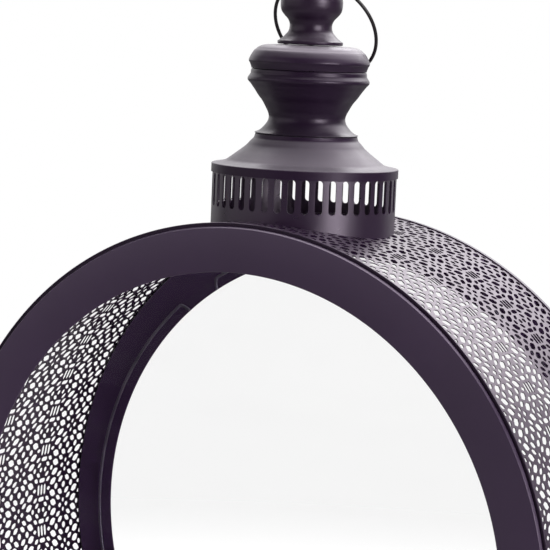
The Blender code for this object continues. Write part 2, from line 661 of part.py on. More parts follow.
def build_battery():
    """Holder, battery lying along X, its door and screw, and the lead."""
    holder = put(pillar_box("battery_holder", (-28.5, -17.2, 2.9), (28.5, 1.2, 20.0)),
                 BLACK_PLASTIC)
    join(holder, pillar_box("add_holder_tab", (28.0, -11.5, 2.9), (33.2, -4.5, 9.0)))
    cut(holder, pillar_box("cut_holder", (-26.9, -15.8, -2), (26.9, -0.2, 18.6)))
    cut(holder, pillar_cyl("cut_holder_pilot", 1.3, -2, 7.5, 12, DOOR_SCREW_XY))
    battery = turned("battery", [
        (0, 25.4), (2.6, 25.4), (2.6, 24.0), (7.1, 24.0), (7.1, -24.8), (0, -24.8),
    ], BATTERY, 16, closed=False, at=(0, BATTERY_Y, PILLAR_Z + 10.8), turn=(0, math.pi / 2, 0))
    door = put(pillar_box("battery_door", (-28.2, -16.6, 0.2), (33.2, 0.6, 2.4)), PLASTIC)
    cut(door, pillar_cyl("cut_bdoor_head", 2.5, -1, 1.8, 16, DOOR_SCREW_XY))
    cut(door, pillar_cyl("cut_bdoor_hole", 1.3, -1, 4, 12, DOOR_SCREW_XY))
    screw = pillar_turned("battery_door_screw", [
        (0, 7.0), (0.9, 6.4), (0.9, 1.5), (2.1, 1.2), (2.1, 0.4), (0, 0.4),
    ], STEEL, 12, closed=False, at=(*DOOR_SCREW_XY, 0))
    path = [(-24.0, 3.0, 12.0), (-24.5, 6.0, 22.0), (-25.5, 9.0, 40.0), (-24.0, 10.0, 56.0),
            (-20.0, 9.5, 66.0), (-16.0, 9.0, 69.6)]
    lead = wire("battery_lead", [(x, y, PILLAR_Z + z) for x, y, z in path], 0.9)
    return [holder, battery, door, screw, put(lead, RED_WIRE)]


def build_switch():
    """Switch body, and a sliding knob on an axis of its own."""
    body = put(pillar_box("switch_body", (-7.0, 18.6, 2.8), (7.0, 25.4, 7.6)), STEEL)
    cut(body, pillar_box("cut_switch_body", (-5.2, 20.4, 1), (5.2, 23.6, 6.6)))
    axis = empty("switch_axis", (-2.2, 22.0, PILLAR_Z))
    knob = put(pillar_box("switch_knob", (-4.4, 20.8, 0.3), (0.0, 23.2, 6.2)), BLACK_PLASTIC)
    hang([knob], axis)
    return [body, axis]


def build_pillar():
    axis = empty("pillar_axis", (0, 0, PILLAR_Z))
    hang(build_pillar_shell() + build_pillar_top() + build_battery() + build_switch(), axis)


# ---- assembly ---------------------------------------------------------------
def shade():
    """Smooth the modelled meshes; turned pieces have no faces of their own
    and are smoothed by their modifier."""
    for obj in MAIN.objects:
        if obj.type == 'MESH' and len(obj.data.polygons):
            obj.data.shade_smooth()
            obj.data.set_sharp_from_angle(angle=math.radians(35.0))


build_drum()
build_rear_glazing()
build_door()
build_collar()
build_turned_top()
build_hanging_eye()
build_ring_handle()
build_tie_rod()
base_plate = build_base()
plinth = build_pedestal()
build_base_screws(base_plate, plinth)
build_drum_bolts(plinth)
build_shelf()
build_pillar()
shade()
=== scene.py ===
"""Looks for the round solar lantern: a punched drum with a glazed door, a slotted
chimney and turned top above it, a foot below it and a solar pillar light inside.

Everything is in metres in the frame's own axes: +Z up, front towards -Y. The
drum's axis runs along Y. Shapes are worked out in millimetres and scaled once by MM.
"""
import math

import bpy
import bmesh
import numpy as np
from mathutils import Matrix, Vector
from mathutils.geometry import delaunay_2d_cdt

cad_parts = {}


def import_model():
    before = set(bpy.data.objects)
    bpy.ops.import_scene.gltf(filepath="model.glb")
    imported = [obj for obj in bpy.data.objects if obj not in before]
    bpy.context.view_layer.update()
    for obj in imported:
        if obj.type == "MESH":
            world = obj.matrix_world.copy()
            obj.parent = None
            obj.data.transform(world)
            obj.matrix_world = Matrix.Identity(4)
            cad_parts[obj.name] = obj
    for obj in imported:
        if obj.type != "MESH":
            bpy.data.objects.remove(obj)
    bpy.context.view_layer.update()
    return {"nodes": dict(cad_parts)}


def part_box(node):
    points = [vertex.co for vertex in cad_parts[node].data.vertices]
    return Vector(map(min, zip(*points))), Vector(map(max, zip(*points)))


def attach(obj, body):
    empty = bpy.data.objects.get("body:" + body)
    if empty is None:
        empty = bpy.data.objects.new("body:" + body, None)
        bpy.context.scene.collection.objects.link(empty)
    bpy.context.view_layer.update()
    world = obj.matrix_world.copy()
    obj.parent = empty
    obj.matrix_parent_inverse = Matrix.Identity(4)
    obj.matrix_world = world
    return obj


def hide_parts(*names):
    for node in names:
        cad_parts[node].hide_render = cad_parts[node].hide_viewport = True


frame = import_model()

MM = 0.001
TAU = 2.0 * math.pi
X, Y, Z = 0, 1, 2

# ---- places read from the frame ----------------------------------------------


def span(node, axis):
    """The low and high ends of a CAD piece along one axis, in mm."""
    low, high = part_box(node)
    return low[axis] / MM, high[axis] / MM


def middle(node, axis):
    low, high = span(node, axis)
    return 0.5 * (low + high)


def half_size(node, axis):
    low, high = span(node, axis)
    return 0.5 * (high - low)


DRUM_R = half_size("front_hoop", X)
AXIS_Z = middle("front_hoop", Z)            # height of the drum's axis
BAND_FRONT, BAND_BACK = span("perforated_band", Y)
OPENING_R = 163.0                           # clear opening of the door and rear frame
BAND_R = DRUM_R - 0.65                      # the sheet sits just inside the hoops
BAND_SHEET = 0.5
SHEET = 0.8                                 # rear frame, lugs and clips


def height(radii):
    """Height of a point some drum radii above the drum's axis."""
    return AXIS_Z + radii * DRUM_R


def scaled(table):
    """Rows of (height above the axis, radius) in drum radii, as (radius, height) in mm."""
    return [(radius * DRUM_R, height(level)) for level, radius in table]


# ---- outlines -----------------------------------------------------------------

def fillet(points, radius, steps, closed=True):
    """Rounds the corners of an outline; a point may carry its own radius."""
    curve = []
    count = len(points)
    for i, point in enumerate(points):
        bend = point[2] if len(point) > 2 else radius
        corner = Vector(point[:2])
        if bend <= 0 or (not closed and i in (0, count - 1)):
            curve.append((corner.x, corner.y))
            continue
        back = Vector(points[i - 1][:2]) - corner
        ahead = Vector(points[(i + 1) % count][:2]) - corner
        back_length, ahead_length = back.length, ahead.length
        back.normalize()
        ahead.normalize()
        half = 0.5 * math.acos(max(-1.0, min(1.0, back.dot(ahead))))
        if half > math.radians(88):         # nearly straight: nothing to round
            curve.append((corner.x, corner.y))
            continue
        reach = min(bend / math.tan(half), 0.48 * back_length, 0.48 * ahead_length)
        arc = reach * math.tan(half)
        centre = corner + (back + ahead).normalized() * (arc / math.sin(half))
        first = corner + back * reach - centre
        last = corner + ahead * reach - centre
        begin = math.atan2(first.y, first.x)
        sweep = (math.atan2(last.y, last.x) - begin + math.pi) % TAU - math.pi
        for k in range(steps + 1):
            angle = begin + sweep * k / steps
            curve.append((centre.x + arc * math.cos(angle), centre.y + arc * math.sin(angle)))
    return curve


def spline(points, steps):
    """Open centripetal Catmull-Rom curve through the points."""
    def between(a, b, at_a, at_b, now):
        return (at_b - now) / (at_b - at_a) * a + (now - at_a) / (at_b - at_a) * b

    points = [np.array(p, float) for p in points]
    points = [2 * points[0] - points[1]] + points + [2 * points[-1] - points[-2]]
    curve = []
    for i in range(1, len(points) - 2):
        near = points[i - 1:i + 3]
        t = [0.0]
        for a, b in zip(near, near[1:]):
            t.append(t[-1] + max(np.linalg.norm(b - a), 1e-6) ** 0.5)
        for k in range(steps):
            now = t[1] + (t[2] - t[1]) * k / steps
            lines = [between(near[j], near[j + 1], t[j], t[j + 1], now) for j in range(3)]
            early = between(lines[0], lines[1], t[0], t[2], now)
            late = between(lines[1], lines[2], t[1], t[3], now)
            x, y = between(early, late, t[1], t[2], now)
            curve.append((float(x), float(y)))
    curve.append((float(points[-2][0]), float(points[-2][1])))
    return curve


def offset_left(curve, distance):
    """The curve moved along its left normal."""
    curve = np.array(curve, float)
    along = np.gradient(curve, axis=0)
    along /= np.linalg.norm(along, axis=1)[:, None] + 1e-12
    moved = curve + distance * np.stack([-along[:, 1], along[:, 0]], 1)
    return [(float(x), float(y)) for x, y in moved]


def circle(radius, count, z=0.0):
    return [(radius * math.cos(TAU * i / count), radius * math.sin(TAU * i / count), z)
            for i in range(count)]


def rounded_rect(half_width, half_depth, radius, steps):
    """Counter-clockwise outline of a rectangle with round corners."""
    across, deep = half_width - radius, half_depth - radius
    points = []
    for x, y, begin in ((across, deep, 0), (-across, deep, 90),
                        (-across, -deep, 180), (across, -deep, 270)):
        for i in range(steps + 1):
            angle = math.radians(begin + 90.0 * i / steps)
            points.append((x + radius * math.cos(angle), y + radius * math.sin(angle)))
    return points


def inset_ring(outline, inset, z):
    """A counter-clockwise outline moved inwards, as points at height z."""
    outline = np.asarray(outline, float)
    along = np.roll(outline, -1, 0) - np.roll(outline, 1, 0)
    along /= np.linalg.norm(along, axis=1)[:, None]
    flat = outline - inset * np.stack([along[:, 1], -along[:, 0]], 1)
    return np.column_stack([flat, np.full(len(flat), z)])


# ---- parts: (vertices in mm, faces) ----------------------------------------------

def bridge(rows, closed):
    """Faces between rows of vertex numbers; repeated numbers collapse."""
    faces = []
    for row, following in zip(rows, rows[1:] + (rows[:1] if closed else [])):
        for i in range(len(row)):
            j = (i + 1) % len(row)
            quad = [row[i], row[j], following[j], following[i]]
            quad = [v for k, v in enumerate(quad) if v != quad[k - 1]]
            if len(quad) > 2:
                faces.append(tuple(quad))
    return faces


def skin(rings, closed=False):
    """Joins rings of points, all of one length."""
    count = len(rings[0])
    rows = [list(range(j * count, (j + 1) * count)) for j in range(len(rings))]
    return [tuple(p) for ring in rings for p in ring], bridge(rows, closed)


def stand(verts, axis, at):
    """Turns points made along Z to lie along another axis, then moves them."""
    turn = {'Z': lambda x, y, h: (x, y, h), 'Y': lambda x, y, h: (x, h, y),
            '-Y': lambda x, y, h: (x, -h, y), 'X': lambda x, y, h: (h, x, y)}[axis]
    return [tuple(c + shift for c, shift in zip(turn(*v), at)) for v in verts]


def lathe(profile, segments, axis='Z', at=(0.0, 0.0, 0.0), closed=True):
    """Turns (radius, height) points round an axis. Points with no radius share
    one vertex, so a profile that starts and ends on the axis makes a solid."""
    verts, rows = [], []
    for radius, level in profile:
        start = len(verts)
        if radius < 1e-6:
            verts.append((0.0, 0.0, level))
            rows.append([start] * segments)
        else:
            verts.extend(circle(radius, segments, level))
            rows.append(list(range(start, start + segments)))
    return stand(verts, axis, at), bridge(rows, closed)


def tube(path, radius, segments, closed=False):
    """A round wire along a path, its open ends capped with low cones."""
    path = np.array(path, float)
    if closed:
        along = np.roll(path, -1, 0) - np.roll(path, 1, 0)
    else:
        along = np.gradient(path, axis=0)
    along /= np.linalg.norm(along, axis=1)[:, None]
    guide = np.array([0.0, 0.0, 1.0] if abs(along[0][2]) < 0.9 else [1.0, 0.0, 0.0])
    side = np.cross(along[0], guide)
    side /= np.linalg.norm(side)
    rings, sides = [], []
    for point, forward in zip(path, along):
        side = side - forward * (side @ forward)
        side /= np.linalg.norm(side)
        other = np.cross(forward, side)
        sides.append((side, other))
        rings.append([point + radius * (math.cos(TAU * s / segments) * side
                                        + math.sin(TAU * s / segments) * other)
                      for s in range(segments)])
    verts, faces = skin(rings)
    first = list(range(segments))
    last = [len(verts) - segments + s for s in first]
    if closed:
        # the carried frame turns on the way round: match the last ring to the first
        side, other = sides[-1]
        begin = sides[0][0]
        shift = int(round(math.atan2(begin @ other, begin @ side) / TAU * segments))
        faces += bridge([last[shift:] + last[:shift], first], False)
    else:
        for i, sign, row in ((0, -1.0, first), (-1, 1.0, last)):
            tip = len(verts)
            verts.append(tuple(path[i] + sign * along[i] * radius * 0.35))
            faces += [(tip, row[s], row[(s + 1) % segments]) for s in range(segments)]
    return verts, faces


def dome(radius, rise, at, axis, segments):
    """A rivet head."""
    arc = [(radius * math.cos(math.radians(a)), rise * math.sin(math.radians(a)))
           for a in range(15, 90, 15)]
    profile = [(0.0, -0.05), (radius, -0.05), (radius, 0.0)] + arc + [(0.0, rise)]
    return lathe(profile, segments, axis, at)


def take_part(bm):
    """The part held in a bmesh, which is freed."""
    bm.verts.index_update()
    verts = [tuple(v.co) for v in bm.verts]
    faces = [tuple(v.index for v in f.verts) for f in bm.faces]
    bm.free()
    return verts, faces


def bevel_box(low, high, radius, segments):
    """A box with rounded edges."""
    bm = bmesh.new()
    bmesh.ops.create_cube(bm, size=1.0)
    bmesh.ops.scale(bm, verts=bm.verts, vec=[b - a for a, b in zip(low, high)])
    bmesh.ops.translate(bm, verts=bm.verts, vec=[0.5 * (a + b) for a, b in zip(low, high)])
    bmesh.ops.bevel(bm, geom=list(bm.edges), offset=radius, segments=segments, profile=0.5,
                    affect='EDGES')
    return take_part(bm)


def extrude(outline, low, high, edge):
    """An outline in (u, v) extruded along w, its rims rounded; points are (u, v, w)."""
    bm = bmesh.new()
    face = bm.faces.new([bm.verts.new((u, v, low)) for u, v in outline])
    grown = bmesh.ops.extrude_face_region(bm, geom=[face])["geom"]
    bmesh.ops.translate(bm, verts=[g for g in grown if isinstance(g, bmesh.types.BMVert)],
                        vec=(0, 0, high - low))
    bmesh.ops.recalc_face_normals(bm, faces=bm.faces)
    rims = [e for e in bm.edges if abs(e.verts[0].co.z - e.verts[1].co.z) < 1e-6]
    bmesh.ops.bevel(bm, geom=rims, offset=edge, segments=2, profile=0.5,
                    affect='EDGES', clamp_overlap=True)
    return take_part(bm)


def slab(outline, layers):
    """A solid from an outline stacked in layers of (inset, height)."""
    verts, faces = skin([inset_ring(outline, inset, z) for inset, z in layers])
    count = len(outline)
    faces.append(tuple(range(count - 1, -1, -1)))
    faces.append(tuple(range(len(verts) - count, len(verts))))
    return verts, faces


def radial(part, degrees):
    """A part in (radius, y, tangent) placed at an angle round the drum."""
    cosine, sine = math.cos(math.radians(degrees)), math.sin(math.radians(degrees))
    verts = [(r * cosine - t * sine, y, AXIS_Z + r * sine + t * cosine)
             for r, y, t in part[0]]
    return verts, part[1]


# ---- punched sheets ------------------------------------------------------------------

def inside(points, polygon):
    """Even-odd test of points (N, 2) against one polygon."""
    x, y = points[:, 0], points[:, 1]
    polygon = np.asarray(polygon, float)
    hit = np.zeros(len(points), bool)
    for i in range(len(polygon)):
        x_here, y_here = polygon[i]
        x_last, y_last = polygon[i - 1]
        if y_here != y_last:
            hit ^= (((y_here > y) != (y_last > y))
                    & (x < (x_last - x_here) * (y - y_here) / (y_last - y_here) + x_here))
    return hit


def triangulate(outline, holes, lines=(), extra=(), may_cut=None):
    """Triangles of an outline less its holes. lines are extra constraint
    segments, extra are loose points; may_cut(centres, hole number) says where a
    hole is really cut."""
    points, edges = [], []

    def trace(path, close=True):
        start, count = len(points), len(path)
        points.extend(Vector((float(p[0]), float(p[1]))) for p in path)
        edges.extend((start + i, start + (i + 1) % count)
                     for i in range(count if close else count - 1))
    for loop in [outline, *holes]:
        trace(loop)
    for line in lines:
        trace(line, False)
    points.extend(Vector((float(p[0]), float(p[1]))) for p in extra)
    found = delaunay_2d_cdt(points, edges, [], 0, 1e-6)
    flat = np.array([(v.x, v.y) for v in found[0]], float)
    tris = np.array([f for f in found[2] if len(f) == 3], int)
    centres = flat[tris].mean(1)
    keep = inside(centres, outline)
    for i, hole in enumerate(holes):
        low, high = np.min(hole, 0), np.max(hole, 0)
        near = np.where(((centres > low) & (centres < high)).all(1))[0]
        if len(near):
            cut = inside(centres[near], hole)
            if may_cut is not None:
                cut &= may_cut(centres[near], i)
            keep[near[cut]] = False
    tris = tris[keep]
    used = np.unique(tris)
    renumber = -np.ones(len(flat), int)
    renumber[used] = np.arange(len(used))
    flat, tris = flat[used], renumber[tris]
    area = np.cross(flat[tris[:, 1]] - flat[tris[:, 0]], flat[tris[:, 2]] - flat[tris[:, 0]])
    turned = area < 0
    tris[turned] = tris[turned][:, ::-1]
    return flat, tris[np.abs(area) > 1e-7]


def wrapped_sheet(name, flat, tris, outer, inner, bend):
    """A punched sheet bent round an axis. bend maps flat points (mm) and a radius
    to space; normals are set square to the sheet."""
    bm = bmesh.new()
    layer = bm.verts.layers.float_vector.new("flat")
    verts = [bm.verts.new(tuple(p)) for p in bend(flat, outer) * MM]
    for tri in tris:
        try:
            bm.faces.new([verts[i] for i in tri])
        except ValueError:          # a triangle given twice is made once
            pass
    for vert, point in zip(verts, flat):
        vert[layer] = (point[0], point[1], 0.0)
    # weld the columns and the seam, then read back the flat places
    bmesh.ops.remove_doubles(bm, verts=bm.verts, dist=0.000004)
    bm.verts.ensure_lookup_table()
    bm.verts.index_update()
    flat = np.array([tuple(v[layer])[:2] for v in bm.verts], float)
    tris = np.array([[v.index for v in f.verts] for f in bm.faces], int)
    bm.free()
    count = len(flat)
    face = bend(flat, outer)
    verts = np.concatenate([face, bend(flat, inner)]) * MM
    # edges with one triangle bound the sheet and its holes
    edges = np.concatenate([tris[:, [0, 1]], tris[:, [1, 2]], tris[:, [2, 0]]])
    _, which, uses = np.unique(np.sort(edges, 1), axis=0, return_inverse=True,
                               return_counts=True)
    rim = edges[uses[which.ravel()] == 1]
    walls = np.stack([rim[:, 1], rim[:, 0], rim[:, 0] + count, rim[:, 1] + count], 1)
    both = np.concatenate([tris, tris[:, ::-1] + count])
    corners = np.concatenate([both.ravel(), walls.ravel()])
    starts = np.concatenate([np.arange(len(both)) * 3,
                             3 * len(both) + np.arange(len(walls)) * 4])
    mesh = bpy.data.meshes.new(name)
    mesh.vertices.add(len(verts))
    mesh.vertices.foreach_set("co", verts.astype(np.float32).ravel())
    mesh.loops.add(len(corners))
    mesh.loops.foreach_set("vertex_index", corners.astype(np.int32))
    mesh.polygons.add(len(starts))
    mesh.polygons.foreach_set("loop_start", starts.astype(np.int32))
    mesh.update(calc_edges=True)
    mesh.validate()
    mesh.shade_smooth()
    # normals: the sheet's own on its two faces, the face's own in the cut edges
    out = bend(flat, outer + 1.0) - face
    out /= np.linalg.norm(out, axis=1)[:, None]
    cut = np.cross(verts[walls[:, 1]] - verts[walls[:, 0]],
                   verts[walls[:, 3]] - verts[walls[:, 0]])
    cut /= np.linalg.norm(cut, axis=1)[:, None] + 1e-20
    normals = np.concatenate([out[tris.ravel()], -out[tris[:, ::-1].ravel()],
                              np.repeat(cut, 4, 0)])
    if len(normals) == len(mesh.loops):     # validate() may have dropped a face
        mesh.normals_split_custom_set(normals.tolist())
    return mesh


# ---- objects -------------------------------------------------------------------------

def new_object(name, data):
    piece = bpy.data.objects.new(name, data)
    bpy.context.scene.collection.objects.link(piece)
    return piece


def place(name, body, node, slot, materials, mesh):
    """Stands a mesh in for a CAD node, riding on a body."""
    piece = new_object(name, mesh)
    for material in materials:
        mesh.materials.append(material)
    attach(piece, body)
    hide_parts(node)
    return piece


def build(name, body, node, slot, material, parts, angle=35.0, weld=0.0, rivets=()):
    """An object from parts in the material and rivets in steel. Edges over angle
    degrees are sharp; vertices within weld mm are joined."""
    verts, faces, indices = [], [], []
    for index, group in enumerate((parts, rivets)):
        for points, part_faces in group:
            start = len(verts)
            verts.extend([(x * MM, y * MM, z * MM) for x, y, z in points])
            faces.extend([tuple(start + i for i in f) for f in part_faces])
            indices.extend([index] * len(part_faces))
    mesh = bpy.data.meshes.new(name)
    mesh.from_pydata(verts, [], faces)
    mesh.polygons.foreach_set("material_index", indices)
    bm = bmesh.new()
    bm.from_mesh(mesh)
    if weld:
        bmesh.ops.remove_doubles(bm, verts=bm.verts, dist=weld * MM)
    bmesh.ops.recalc_face_normals(bm, faces=bm.faces)
    bm.to_mesh(mesh)
    bm.free()
    mesh.shade_smooth()
    mesh.set_sharp_from_angle(angle=math.radians(angle))
    materials = [material, steel] if rivets else [material]
    return place(name, body, node, slot, materials, mesh)


# ---- shader helpers --------------------------------------------------------------------

def add(tree, kind, inputs=None, **settings):
    """A shader node; its inputs take sockets, which are linked, or values."""
    node = tree.nodes.new("ShaderNode" + kind)
    for key, value in settings.items():
        setattr(node, key, value)
    for key, value in (inputs or {}).items():
        if isinstance(value, bpy.types.NodeSocket):
            tree.links.new(value, node.inputs[key])
        else:
            node.inputs[key].default_value = value
    return node


def new_material(name):
    material = bpy.data.materials.new(name)
    material.use_nodes = True
    material.node_tree.nodes.clear()
    return material, material.node_tree


def principled(tree, inputs):
    shader = add(tree, "BsdfPrincipled", inputs).outputs[0]
    add(tree, "OutputMaterial", {0: shader})


def object_coords(tree):
    return add(tree, "TexCoord").outputs["Object"]


def mapped_coords(tree, stretch=(1, 1, 1)):
    return add(tree, "Mapping", {"Vector": object_coords(tree), "Scale": stretch}).outputs[0]


def noise(vector, scale, detail=2.0, rough=0.5):
    return add(vector.id_data, "TexNoise", {"Vector": vector, "Scale": scale, "Detail": detail,
                                            "Roughness": rough}).outputs["Fac"]


def remap(value, source, to=(0.0, 1.0), smooth=False):
    return add(value.id_data, "MapRange", {0: value, 1: source[0], 2: source[1],
                                           3: to[0], 4: to[1]},
               interpolation_type='SMOOTHSTEP' if smooth else 'LINEAR').outputs[0]


def calc(operation, first, second=None):
    """A maths node; first must be a socket."""
    inputs = {0: first} if second is None else {0: first, 1: second}
    return add(first.id_data, "Math", inputs, operation=operation).outputs[0]


def blend(factor, first, second):
    """Mixes two colours, each a socket or three numbers."""
    first, second = [(*c, 1.0) if isinstance(c, tuple) else c for c in (first, second)]
    return add(factor.id_data, "Mix", {0: factor, 6: first, 7: second},
               data_type='RGBA').outputs[2]


def shade(colour, factor, lift=0.0):
    return tuple(min(1.0, c * factor + lift) for c in colour)


def mottle(pattern, colour, dark, light):
    """A colour wandering between a darker and a lighter shade of itself."""
    return blend(remap(pattern, source=(0.3, 0.7)), shade(colour, dark), shade(colour, light))


def gloss(pattern, low, high):
    """Roughness wandering between two values."""
    return remap(pattern, source=(0.2, 0.8), to=(low, high))


def bump(pattern, strength, distance, under=None):
    inputs = {"Height": pattern, "Strength": strength, "Distance": distance}
    if under is not None:
        inputs["Normal"] = under
    return add(pattern.id_data, "Bump", inputs).outputs[0]


def crystals(vector, scale):
    """Random grey per Voronoi cell."""
    cells = add(vector.id_data, "TexVoronoi", {"Vector": vector, "Scale": scale})
    return add(vector.id_data, "RGBToBW", {0: cells.outputs["Color"]}).outputs[0]


# ---- materials ---------------------------------------------------------------------------

def paint(name, colour, rough, peel, specular=0.5, worn=False, dust_and_sheen=0.0, back=None,
          dust_and_sheen_colour=(0.150, 0.134, 0.156), tint=(1.0, 0.86, 1.03)):
    """Satin enamel: faint orange peel, small changes in tone and gloss. Optional:
    worn gives lighter edges; the up-facing amount and its colour lay a pale tone over
    whatever looks up, partly a dusting and partly a painted highlight of the light
    above; back is a colour for faces turned towards +Y."""
    material, tree = new_material(name)
    vector = mapped_coords(tree)
    tone = noise(vector, scale=9.0, detail=4.0, rough=0.6)
    speck = remap(noise(vector, scale=1500.0, detail=1.0), source=(0.66, 0.80), to=(0.0, 0.30))
    result = mottle(tone, colour, dark=0.84, light=1.16)
    result = blend(speck, result, shade(colour, 1.9, lift=0.01))
    if worn or dust_and_sheen or back:
        normal = add(tree, "NewGeometry").outputs["Normal"]
    if worn:
        # edges: the difference between the true and a rounded normal
        rounded = add(tree, "Bevel", {"Radius": 0.0006}, samples=3).outputs[0]
        match = add(tree, "VectorMath", {0: rounded, 1: normal}, operation='DOT_PRODUCT')
        edge = remap(match.outputs["Value"], source=(0.97, 0.80), to=(0.0, 0.55))
        result = blend(edge, result, shade(colour, 2.3, lift=0.012))
    if dust_and_sheen or back:
        facing = add(tree, "SeparateXYZ", {0: normal}).outputs
    # Painted highlight, partly dusting: faces that look up turn towards a pale colour that
    # stands in for the light above.
    if dust_and_sheen:
        level = remap(facing["Z"], source=(0.42, 0.86), to=(0.0, dust_and_sheen))
        dust_and_sheen_patches = remap(tone, source=(0.25, 0.75), to=(0.80, 1.0))
        result = blend(calc('MULTIPLY', level, dust_and_sheen_patches), result, dust_and_sheen_colour)
    if back:
        result = blend(remap(facing["Y"], source=(0.30, 0.80)), result, back)
    peel_bump = bump(noise(vector, scale=520.0, rough=0.55), strength=peel, distance=0.00012)
    principled(tree, {
        "Base Color": result,
        "Roughness": gloss(noise(vector, scale=210.0), rough - 0.05, rough + 0.06),
        "Specular IOR Level": specular,
        "Specular Tint": (*tint, 1.0),
        "Normal": bump(noise(vector, scale=26.0), strength=0.10, distance=0.0006,
                       under=peel_bump)})
    return material


def wire(name, colour, metal):
    material, tree = new_material(name)
    vector = mapped_coords(tree)
    principled(tree, {
        "Base Color": mottle(noise(vector, scale=60.0, detail=3.0), colour,
                             dark=0.75, light=1.25),
        "Metallic": metal,
        "Roughness": gloss(noise(vector, scale=400.0), low=0.34 - 0.06, high=0.34 + 0.10),
        "Normal": bump(noise(vector, scale=900.0), strength=0.25, distance=0.00008)})
    return material


def zinc():
    """Zinc-plated steel with fine crystals."""
    material, tree = new_material("zinc_steel")
    vector = mapped_coords(tree)
    streaks = noise(mapped_coords(tree, stretch=(1, 1, 12)), scale=300.0)
    principled(tree, {
        "Base Color": blend(crystals(vector, scale=260.0), (0.46, 0.46, 0.45),
                            (0.62, 0.62, 0.60)),
        "Metallic": 1.0,
        "Roughness": gloss(noise(vector, scale=500.0, detail=3.0), low=0.24, high=0.42),
        "Normal": bump(streaks, strength=0.2, distance=0.00008)})
    return material


def thin_pane(name, tint, rough):
    """Thin pane: light goes straight through, with a clear reflection by angle."""
    material, tree = new_material(name)
    clear = add(tree, "BsdfTransparent", {"Color": (*tint, 1.0)}).outputs[0]
    smears = noise(mapped_coords(tree), scale=30.0, detail=3.0)
    mirror = add(tree, "BsdfGlossy", {
        "Color": (1, 1, 1, 1),
        "Roughness": remap(smears, source=(0.45, 0.75), to=(rough, rough + 0.05))}).outputs[0]
    # only the face that meets the light mirrors: a ray inside is never turned back
    behind = add(tree, "NewGeometry").outputs["Backfacing"]
    share = calc('MULTIPLY', add(tree, "Fresnel", {"IOR": 1.16}).outputs[0],
                 remap(behind, source=(0.0, 1.0), to=(1.0, 0.0)))
    clean = add(tree, "MixShader", {0: share, 1: clear, 2: mirror}).outputs[0]
    # faint dust and wiping marks
    dust_and_sheen = add(tree, "BsdfDiffuse", {"Color": (0.8, 0.8, 0.8, 1)}).outputs[0]
    marks = noise(mapped_coords(tree, stretch=(1, 1, 3)), scale=14.0, detail=5.0, rough=0.65)
    amount = remap(marks, source=(0.52, 0.80), to=(0.0, 0.008))
    dusty = add(tree, "MixShader", {0: amount, 1: clean, 2: dust_and_sheen}).outputs[0]
    add(tree, "OutputMaterial", {0: dusty})
    return material


def plain(name, colour, rough, tone, patch, grain, depth, strength,
          subsurface=0.0, transmission=0.0, coat=0.0, sheen=0.0):
    """A non-metal: tone is the change of colour over noise of scale patch; grain,
    depth and strength set the bump."""
    material, tree = new_material(name)
    vector = mapped_coords(tree)
    inputs = {
        "Base Color": mottle(noise(vector, scale=patch, detail=4.0, rough=0.6), colour,
                             dark=1 - tone, light=1 + tone),
        "Roughness": gloss(noise(vector, scale=patch * 5, detail=3.0),
                           max(0.01, rough - 0.06), rough + 0.08),
        "IOR": 1.46,
        "Transmission Weight": transmission,
        "Coat Weight": coat,
        "Sheen Weight": sheen,
        "Normal": bump(noise(vector, scale=grain, detail=3.0, rough=0.6), strength=strength,
                       distance=depth)}
    if subsurface:
        inputs["Subsurface Weight"] = subsurface
        inputs["Subsurface Radius"] = (1.0, 0.6, 0.3)
        inputs["Subsurface Scale"] = 0.006
    principled(tree, inputs)
    return material


def battery_sleeve():
    """A green sleeve with a pale end past x = BAND_START."""
    BAND_START = 0.014
    material, tree = new_material("battery_sleeve")
    vector = object_coords(tree)
    x = add(tree, "SeparateXYZ", {0: vector}).outputs["X"]
    principled(tree, {
        "Base Color": blend(calc('GREATER_THAN', x, BAND_START), (0.02, 0.22, 0.12),
                            (0.62, 0.60, 0.52)),
        "Metallic": 0.3,
        "Roughness": gloss(noise(vector, scale=300.0), low=0.24, high=0.38),
        "Normal": bump(noise(vector, scale=500.0), strength=0.15, distance=0.00006)})
    return material


def stripes(coordinate, pitch, width, shift=0.0):
    """1 on stripes of a width in metres, 0 between them."""
    distance = calc('PINGPONG', calc('ADD', coordinate, shift), pitch * 0.5)
    return calc('LESS_THAN', distance, width * 0.5)


def solar_silicon():
    """Dark blue silicon with fine fingers and wider bars across them."""
    material, tree = new_material("solar_silicon")
    vector = object_coords(tree)
    place_xyz = add(tree, "SeparateXYZ", {0: vector}).outputs
    metal = calc('MAXIMUM', stripes(place_xyz["Y"], pitch=0.0022, width=0.00022),
                 stripes(place_xyz["X"], pitch=0.0320, width=0.0012, shift=0.0160))
    grain = crystals(vector, scale=130.0)
    silicon = blend(grain, (0.006, 0.010, 0.045), (0.016, 0.028, 0.105))
    principled(tree, {
        "Base Color": blend(metal, silicon, (0.62, 0.62, 0.62)),
        "Metallic": metal,
        "Roughness": remap(grain, source=(0.0, 1.0), to=(0.18, 0.34)),
        "Normal": bump(metal, strength=0.3, distance=0.00005)})
    return material


AUBERGINE = (0.0190, 0.0074, 0.0250)
drum_paint = paint("drum_paint", AUBERGINE, rough=0.34, peel=0.16, specular=0.6, dust_and_sheen=0.15,
                   tint=(1.04, 0.80, 1.02))
hoop_paint = paint("hoop_paint", AUBERGINE, rough=0.34, peel=0.16, worn=True, dust_and_sheen=0.15)
